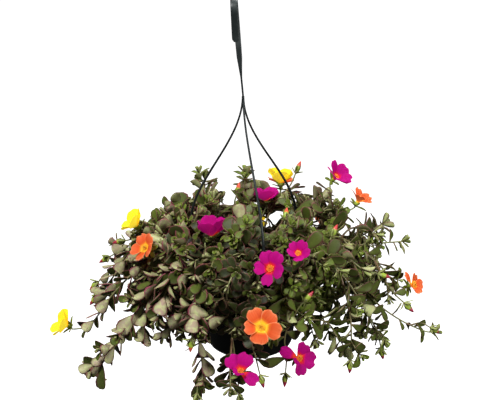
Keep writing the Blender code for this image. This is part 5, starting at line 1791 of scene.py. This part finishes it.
STEMS = (
    Stem("stem_top_right", (28, 40), (
        Branch(0.0, ((29, 66, 30), (30, 98, 42), (29, 117, 58)), 1, 0.35),
        Branch(0.3, ((16, 88, 32), (15, 120, 40)), 2, 0.35),
        Branch(0.55, ((40, 112, 46), (44, 130, 40))),
        Branch(0.45, ((8, 100, 52), (2, 116, 56)))), full=0.4, habit=OPEN),
    Stem("stem_back_top", (66, 36), (
        Branch(0.0, ((66, 62, 30), (66, 90, 36)), 3, 0.35),
        Branch(0.5, ((76, 104, 36), (73, 122, 26)), 4, 0.3),
        Branch(0.55, ((58, 98, 58), (56, 108, 75)), End.BUD, 0.3)), full=0.3, tint=0.9),
    Stem("stem_crown", (110, 16), (
        Branch(0.0, ((100, 34, 40), (96, 52, 66), (96, 60, 88)), bare=0.3),
        Branch(0.3, ((80, 36, 24), (73, 50, 28)), 5, 0.3),
        Branch(0.2, ((190, 30, 18), (206, 46, 14)), 6, 0.3),
        Branch(0.45, ((116, 44, 48), (112, 46, 62)), End.BUD, 0.3)), tint=0.95,
         habit=replace(OPEN, length=0.029)),
    Stem("stem_left_front", (208, 46), (
        Branch(0.0, ((207, 74, 26), (206, 110, 22)), 7, 0.35),
        Branch(0.4, ((214, 118, 4), (210, 160, -45), (206, 192, -98), (201, 216, -126))),
        Branch(0.55, ((224, 135, 0), (226, 160, -40)))), full=0.5, habit=TILED),
    Stem("stem_left", (184, 48), (
        Branch(0.0, ((184, 76, 28), (183, 112, 26)), 8, 0.4),
        Branch(0.6, ((178, 136, 18), (177, 160, 12)), End.BUD),
        Branch(0.45, ((190, 120, 22), (192, 152, 4)))), full=0.2, tint=0.2,
         habit=replace(TILED, length=0.0225)),
    Stem("stem_front", (270, 44), (
        Branch(0.0, ((271, 76, 26), (276, 102, 22)), 9, 0.35),
        Branch(0.35, ((268, 98, 10), (270, 120, -14), (272, 132, -32)), 13),
        Branch(0.55, ((262, 110, 26), (258, 132, 10))),
        Branch(0.3, ((262, 66, 44), (256, 82, 54))))),
    Stem("stem_front_right", (300, 44), (
        Branch(0.0, ((301, 74, 28), (302, 96, 22)), 10, 0.4),
        Branch(0.4, ((294, 96, 6), (294, 112, -40), (293, 108, -78)), 15),
        Branch(0.6, ((318, 112, 26), (324, 138, 8))),
        Branch(0.35, ((316, 68, 44), (324, 88, 52)))), full=0.5),
    Stem("stem_right", (352, 48), (
        Branch(0.0, ((353, 78, 26), (354, 120, 22), (355, 162, -10), (356, 184, -38)), 11, 0.3),
        Branch(0.7, ((350, 178, -36), (349, 198, -54)), End.BUD),
        Branch(0.45, ((359, 130, 34), (360, 160, 24)))), tint=0.1),
    Stem("stem_far_left", (194, 32), (
        Branch(0.0, ((195, 78, 12), (195, 125, 6), (196, 172, -30), (197, 206, -70)), 12, 0.3),
        Branch(0.6, ((192, 170, -26), (190, 190, -56)))), full=0.1,
         habit=replace(TILED, spacing=0.0085, length=0.024)),
    Stem("stem_front_trailing", (252, 48), (
        Branch(0.0, ((252, 80, 14), (254, 104, -8), (258, 108, -60), (261, 108, -104)), 14, 0.3),
        Branch(0.7, ((258, 116, -100), (258, 117, -136))),
        Branch(0.6, ((270, 112, -70), (276, 120, -112)), End.BUD)), full=0.3, tint=0.05),
    Stem("stem_front_left_trailing", (236, 48), (
        Branch(0.0, ((236, 80, 16), (237, 112, -4), (239, 122, -58),
                     (240, 117, -106), (240, 115, -138)), bare=0.3),
        Branch(0.45, ((240, 134, -36), (240, 140, -62)), End.BUD),
        Branch(0.25, ((243, 96, 26), (246, 116, 22)))), full=0.5, tint=0.9, habit=TILED),
    Stem("stem_left_high", (171, 48), (
        Branch(0.0, ((171, 78, 26), (172, 124, 14), (174, 166, -18), (175, 198, -50)), End.BUD, 0.3),
        Branch(0.7, ((180, 176, -36), (181, 196, -60)), End.BUD),
        Branch(0.6, ((167, 160, -6), (168, 188, -24)), End.BUD)), full=0.1, tint=0.25,
         habit=replace(TILED, spacing=0.0075, length=0.0225)),
    Stem("stem_right_low", (328, 48), (
        Branch(0.0, ((328, 80, 16), (331, 124, 0), (335, 154, -44), (339, 170, -82),
                     (340, 175, -106)), End.BUD, 0.3),
        Branch(0.48, ((328, 144, -46), (325, 152, -80), (324, 153, -108)), End.BUD),
        Branch(0.35, ((338, 124, 14), (342, 152, -8)))), full=0.4, tint=0.1),
    Stem("stem_far_right", (340, 40), (
        Branch(0.0, ((342, 76, 14), (345, 118, -2), (349, 158, -52),
                     (351, 190, -79), (352, 224, -96), (353, 240, -98)), bare=0.25),
        Branch(0.42, ((346, 150, -62), (343, 166, -94)))), full=0.1,
         habit=replace(SLIGHT, spacing=0.013, length=0.024, spread=55.0, light=0.9)),
    Stem("stem_right_high", (6, 44), (
        Branch(0.0, ((6, 76, 14), (6, 118, 10), (7, 160, 4), (6, 200, 6)), bare=0.3),
        Branch(0.6, ((14, 158, 12), (19, 186, 16))),
        Branch(0.45, ((14, 140, -20), (16, 164, -58)))), full=0.5),
    Stem("stem_top_left", (142, 36), (
        Branch(0.0, ((140, 60, 34), (131, 88, 52), (124, 107, 68)), bare=0.3),
        Branch(0.4, ((158, 86, 32), (167, 98, 36)), End.BUD),
        Branch(0.5, ((146, 108, 40), (150, 134, 26)))), full=0.3, tint=0.95, habit=SLIGHT),
    Stem("stem_back_left", (124, 50), (
        Branch(0.0, ((124, 80, 18), (124, 110, -4), (125, 130, -20)), 16, 0.35),
        Branch(0.5, ((132, 140, 0), (137, 168, -36))),
        Branch(0.4, ((114, 128, -4), (112, 150, -60), (112, 152, -104))))),
    Stem("stem_back", (92, 50), (
        Branch(0.0, ((91, 80, 22), (89, 122, 4), (88, 150, -34)), 17, 0.3),
        Branch(0.4, ((98, 120, 18), (102, 150, 4))),
        Branch(0.45, ((78, 130, -8), (76, 156, -50), (75, 160, -90))))),
    Stem("stem_back_right", (54, 50), (
        Branch(0.0, ((54, 80, 18), (53, 118, -2), (52, 142, -22)), 18, 0.35),
        Branch(0.5, ((44, 140, -8), (40, 168, -40))),
        Branch(0.45, ((62, 132, -10), (61, 156, -64), (60, 158, -100))))),
    Stem("stem_back_left_trailing", (152, 46), (
        Branch(0.0, ((152, 80, 16), (152, 124, 2), (151, 160, -48), (150, 176, -94)), bare=0.3),
        Branch(0.45, ((160, 140, -12), (163, 172, -48))),
        Branch(0.5, ((144, 150, -30), (140, 168, -76))))),
    Stem("stem_back_right_trailing", (20, 46), (
        Branch(0.0, ((21, 80, 14), (23, 124, -4), (25, 158, -48), (26, 174, -92)), bare=0.3),
        Branch(0.45, ((31, 142, -8), (32, 172, -30))))),
)


@dataclass
class Mound:
    """The rounded head of the plant, which younger shoots fill: its reaches, heights and shoots.

    Fall is how far down its side the shoots go, as a share of its top's, waist the least share of its reach
    below its middle, and hollow how far in some of them end. Hanging holds the ends of shoots that trail, as
    seats of blooms are given, and budded the places in metres of those with buds, and each bud's tint.
    """

    left: float = 0.15
    right: float = 0.138
    front: float = 0.118
    back: float = 0.14
    top: float = 0.062
    middle: float = 0.004
    skirt: float = 0.05
    front_left: float = 0.03
    front_left_azimuth: float = 212.0
    fall: float = 0.55
    waist: float = 0.8
    hollow: float = 0.14
    count: int = 230
    hanging: tuple[Point, ...] = (
        (206, 148, -56), (219, 140, -74), (228, 126, -72), (213, 156, -78),
        (241, 115, -72), (248, 118, -41), (329, 117, -87), (346, 128, -78),
        (352, 145, -104), (315, 114, -88), (334, 134, -108), (338, 122, -60),
        (288, 118, -48), (262, 120, -52), (130, 150, -70), (98, 150, -75),
        (66, 155, -72), (35, 155, -68), (160, 165, -72), (10, 150, -62),
        (80, 145, -55))
    budded: tuple[tuple[Point, float], ...] = (
        ((0.043, -0.037, 0.059), 0.9), ((-0.065, -0.118, -0.138), 0.8), ((-0.186, -0.085, -0.134), 0.2),
        ((-0.013, -0.122, -0.137), 0.1), ((0.043, -0.12, -0.109), 0.1), ((0.161, -0.03, -0.017), 0.2),
        ((0.065, -0.105, -0.019), 0.3), ((0.23, -0.03, -0.092), 0.1), ((0.1, -0.047, 0.041), 0.5))

    def targets(self) -> Iterator[tuple[Array, float | None]]:
        """Ends of the younger shoots: budded ones, then those all over the mound, then hanging ones.

        Those all over the mound are a golden turn apart, and fall evenly from its top to its skirt.

        Yields:
            End of the shoot, and the tint of its bud if it has one.
        """
        for point, tint in self.budded:
            yield np.array(point), tint
        for number in range(self.count):
            share = (number + 0.5) / self.count
            turn = 2 * np.pi * ((number * GOLDEN) % 1.0)
            lift = 1.0 - (1.0 + self.fall) * share
            level = math.sqrt(max(0.0, 1.0 - min(1.0, abs(lift)) ** 2))
            level = max(level, self.waist) if lift < 0 else level
            wide = self.right if math.cos(turn) > 0 else self.left
            deep = self.back if math.sin(turn) > 0 else self.front
            corner = max(0.0, math.cos(turn - math.radians(self.front_left_azimuth)))
            skirt = self.skirt + self.front_left * corner ** 2
            rise = self.middle + lift * (self.top - self.middle if lift > 0 else skirt / self.fall)
            near = 1.0 - self.hollow * ((number * 0.7548) % 1.0)
            place = np.array((wide * level * math.cos(turn), deep * level * math.sin(turn), rise))
            yield place * (near, near, 1.0), None
        for point in self.hanging:
            yield spot(*point), None


@dataclass
class Plant:
    """All the leafy shoots: one piece for each rooted stem, and the younger shoots by sectors.

    Windows are the places where the mound can be seen through: the X, height and radius of each. Strands
    holds the heights over the rim down to which each strand of the hanger is seen. The other fields say how
    long and, as a share of a bloom's radius, how wide the room is that is kept clear before something.
    """

    sectors: int = 8
    windows: tuple[Point, ...] = ((0.026, 0.04, 0.0075), (-0.027, 0.073, 0.007), (0.038, 0.048, 0.004),
                                  (0.12, 0.024, 0.006), (0.086, 0.04, 0.004), (-0.034, -0.118, 0.0095),
                                  (-0.016, -0.122, 0.006), (0.044, -0.122, 0.009))
    strands: tuple[float, ...] = (0.0, 0.034, 0.044)
    strand_room: float = 0.12
    bloom_room: Pair = (0.024, 0.9)
    view_room: Pair = (0.07, 0.72)
    window_room: float = 0.4
    room: Room = field(default_factory=Room)
    mound: Mound = field(default_factory=Mound)

    def keep_clear(self, hanger: Hanger) -> None:
        """Bar the room of the blooms, of the view of them, of the windows, the strands and the pot.

        Args:
            hanger: The hanger, whose strands are kept clear.
        """
        for bloom in BLOOMS:
            seat, axis, _, _ = bloom.frame()
            length, wide = self.bloom_room
            self.room.bar_column(seat, axis, length, wide * bloom.radius)
            if bloom.number <= LAST_IN_FRONT:
                length, wide = self.view_room
                self.room.bar_column(seat + axis * 0.006, VIEWER, length, wide * bloom.radius)
        for x, z, radius in self.windows:
            front = np.array((x, 0.0, z)) + VIEWER * 0.5 * self.window_room
            self.room.bar_column(front, -VIEWER, self.window_room, radius)
        for azimuth, lowest in zip(Pot.eye_azimuths, self.strands):
            line, _ = hanger.strand(azimuth)
            for point in line[::2]:
                self.room.bar_column(point, VIEWER, self.strand_room if point[2] > lowest else 0.004, 0.003)
        height, turn = np.meshgrid(np.arange(-Pot.height, 0.001, 0.0025), np.linspace(0.0, 2 * np.pi, 180))
        radius = Pot.foot_radius + (height + Pot.height) / Pot.height * 0.018
        self.room.bar(np.stack((radius * np.cos(turn), radius * np.sin(turn), height), axis=-1))

    def grow_stem(self, number: int, stem: Stem, materials: Sequence[Material]) -> list[Path]:
        """Grow one rooted stem with its leaves, buds and calyxes, and make its piece.

        Args:
            number: Number of the stem.
            stem: The stem.
            materials: Materials of leaves, stems and buds.

        Returns:
            The paths of its branches.
        """
        sprig = Sprig(self.room, 100 + number)
        paths = stem.paths()
        for branch, path in zip(stem.branches, paths):
            radii = (0.0017 if path is paths[0] else 0.0014, 0.0009)
            sprig.stalk(path, radii, (0.9, 0.15))
            habit = stem.habit or habit_at(path.points[-1], sprig.rng.uniform())
            tip = 0.006 if branch.end is End.LEAVES else 0.018
            start = max(branch.bare * path.length, 0.016)
            sprig.clothe(path, radii[0], habit, start, path.length - tip)
            sprig.side_shoots(path, habit, start + 0.02, stem.full)
            if branch.end is End.LEAVES:
                sprig.rosette(path, 0.68 * habit.length, 7, habit, 80.0)
            elif branch.end is End.BUD:
                point, axis, _, _ = path.at(path.length)
                sprig.bud(point, axis, stem.tint)
                sprig.bracts(path, 60.0)
            else:
                sprig.calyx(BLOOMS[branch.end - 1])
        sprig.make(f"{stem.name}_shoots", materials, [stem.name])
        return paths

    def young_path(self, target: Array, skeleton: Array, axes: Array) -> Path:
        """Path of a younger shoot, from the nearest older stem that lies well further in to its end.

        Args:
            target: Its end.
            skeleton: Points of the older stems.
            axes: Their directions.

        Returns:
            The path.
        """
        away = np.linalg.norm(skeleton - target, axis=1)
        depth = np.linalg.norm(target - MOUND_HEART) - np.linalg.norm(skeleton - MOUND_HEART, axis=1)
        score = away + np.where(depth < 0.018, 0.1, 0.0) + np.where(away < 0.03, 0.1, 0.0)
        best = int(np.argmin(score))
        start, axis = skeleton[best], axes[best]
        out = unit(target - MOUND_HEART)
        reach = float(np.linalg.norm(target - start))
        middle = start + (target - start) * 0.5 + (out * 0.1 + np.array((0.0, 0.0, 0.14))) * reach
        return Path([start, start + (axis * 0.6 + out * 0.4) * 0.18 * reach, middle, target])

    def grow_young(self, skeleton: Array, axes: Array, materials: Sequence[Material]) -> None:
        """Grow the younger shoots that fill the mound, and make one piece for each sector.

        Args:
            skeleton: Points of the older stems.
            axes: Their directions.
            materials: Materials of leaves, stems and buds.
        """
        sprigs = [Sprig(self.room, 500 + sector) for sector in range(self.sectors)]
        heart = (skeleton[:, 2] > -0.03) & (np.hypot(skeleton[:, 0], skeleton[:, 1]) < 0.14)
        radii = (0.0012, 0.0008)
        for target, tint in self.mound.targets():
            turn = math.atan2(target[1], target[0]) / (2 * math.pi) % 1.0
            sprig = sprigs[int(turn * self.sectors) % self.sectors]
            older = heart if tint is None else np.full(len(heart), True)
            path = self.young_path(target, skeleton[older], axes[older])
            if tint is None and self.room.share(path.points[-5:]) > 0.5:
                continue
            habit = habit_at(target, sprig.rng.uniform())
            habit = replace(habit, young=0.45 * habit.tone)
            sprig.stalk(path, radii, (0.8, 0.2), 6)
            sprig.clothe(path, radii[0], habit, 0.014, path.length - (0.008 if tint is None else 0.014))
            if tint is None:
                sprig.rosette(path, 0.016, 12, habit)
            else:
                sprig.bud(path.points[-1], path.axes[-1], tint)
                sprig.bracts(path, 58.0)
        for sector, sprig in enumerate(sprigs):
            sprig.make(f"young_shoots_{sector + 1}", materials, [])

    def build(self, hanger: Hanger) -> None:
        """Grow the whole plant.

        Args:
            hanger: The hanger, which the plant grows round.
        """
        materials = [LeafFinish().material(), StemFinish().material(), BudFinish().material()]
        self.keep_clear(hanger)
        paths = [path for number, stem in enumerate(STEMS)
                 for path in self.grow_stem(number, stem, materials)]
        skeleton = np.vstack([path.points for path in paths])
        self.grow_young(skeleton, np.vstack([path.axes for path in paths]), materials)


# Studio


@dataclass
class Studio:
    """Plain pale floor, camera and soft lamps: the name, place, side and watts of each."""

    aim: Point = (0.019, 0.0, -0.2523)
    distance: float = 1.6
    lens: float = 92.16
    sensor: float = 36.0
    floor_height: float = -1.25
    floor_half: float = 120.0
    glow: Pair = (1.3, 1.9)
    world_light: float = 0.07
    lamps: tuple[tuple[str, Point, float, float], ...] = (
        ("key", (-0.9, -1.0, 1.9), 0.6, 82.0), ("fill", (1.7, -1.4, 0.4), 0.8, 36.0),
        ("back", (0.5, 1.1, 1.4), 0.9, 28.0))

    def aimed(self, name: str, data: bpy.types.ID, place: Vector) -> bpy.types.Object:
        """Set a camera or a lamp in its place and turn it to the aim.

        Args:
            name: Name of the object.
            data: Its camera or lamp.
            place: Where it stands.

        Returns:
            The new object.
        """
        item = add_object(name, data)
        item.location = place
        item.rotation_euler = (Vector(self.aim) - item.location).to_track_quat("-Z", "Y").to_euler()
        return item

    def camera(self) -> None:
        """Set the camera in front, above the basket, at the aim."""
        data = bpy.data.cameras.new("camera")
        data.lens = self.lens
        data.sensor_width = self.sensor
        place = Vector(self.aim) + Vector(VIEWER) * self.distance
        bpy.context.scene.camera = self.aimed("camera", data, place)

    def floor(self) -> None:
        """Lay the floor far below the basket, white away from the lamps, sending no light back up."""
        size = self.floor_half
        mesh = bpy.data.meshes.new("floor")
        corners = [(-size, -size), (size, -size), (size, size), (-size, size)]
        mesh.from_pydata([(x, y, self.floor_height) for x, y in corners], [], [(0, 1, 2, 3)])
        paint = Paint("studio_floor")
        shade = paint.mix(paint.noise(3.0, 2.0), (0.66, 0.66, 0.66), (0.68, 0.68, 0.68))
        away = paint.node("ShaderNodeVectorMath", {"operation": "LENGTH"}, {0: paint.place()}, "Value")
        glow = paint.mix(away.eased(*self.glow), (0.3, 0.3, 0.3), (1.0, 1.0, 1.0))
        mesh.materials.append(paint.dress(Base_Color=shade, Roughness=0.9, Specular_IOR_Level=0.0,
                                          Emission_Color=glow, Emission_Strength=1.0))
        item = add_object("floor", mesh)
        item.visible_diffuse = item.visible_glossy = False
        item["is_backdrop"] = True

    def build(self) -> None:
        """Set up the world, the lamps, the floor and the camera."""
        scene = bpy.context.scene
        scene.view_settings.view_transform = "Standard"
        scene.world = bpy.data.worlds.new("studio")
        scene.world.use_nodes = True
        background = scene.world.node_tree.nodes["Background"].inputs
        background["Color"].default_value = (1.0, 1.0, 1.0, 1.0)
        background["Strength"].default_value = self.world_light
        for name, place, size, power in self.lamps:
            data = bpy.data.lights.new(name, "AREA")
            data.size, data.energy = size, power
            self.aimed(name, data, Vector(place))
        self.floor()
        self.camera()


def write_sizes() -> None:
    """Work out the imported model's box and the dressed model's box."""
    boxes = {"cad": CAD_BOX, "visual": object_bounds()}
    ({name: [[float(value) for value in corner] for corner in box]
               for name, box in boxes.items()})


def main() -> None:
    """Build the basket, one sub-assembly after another, and the studio round it."""
    logging.basicConfig(level=logging.INFO, format="%(name)s %(message)s")
    Pot().build()
    hanger = Hanger()
    hanger.build()
    Soil().build()
    silks = {colour: colour.value.material() for colour in PetalColour}
    golden, orange = GOLDEN_STAMENS.material(), ORANGE_STAMENS.material()
    for bloom in BLOOMS:
        bloom.make_petals(silks[bloom.colour])
        bloom.make_stamens(orange if bloom.colour is PetalColour.MAGENTA else golden)
    Plant().build(hanger)
    Studio().build()
    write_sizes()


if __name__ == "__main__":
    main()
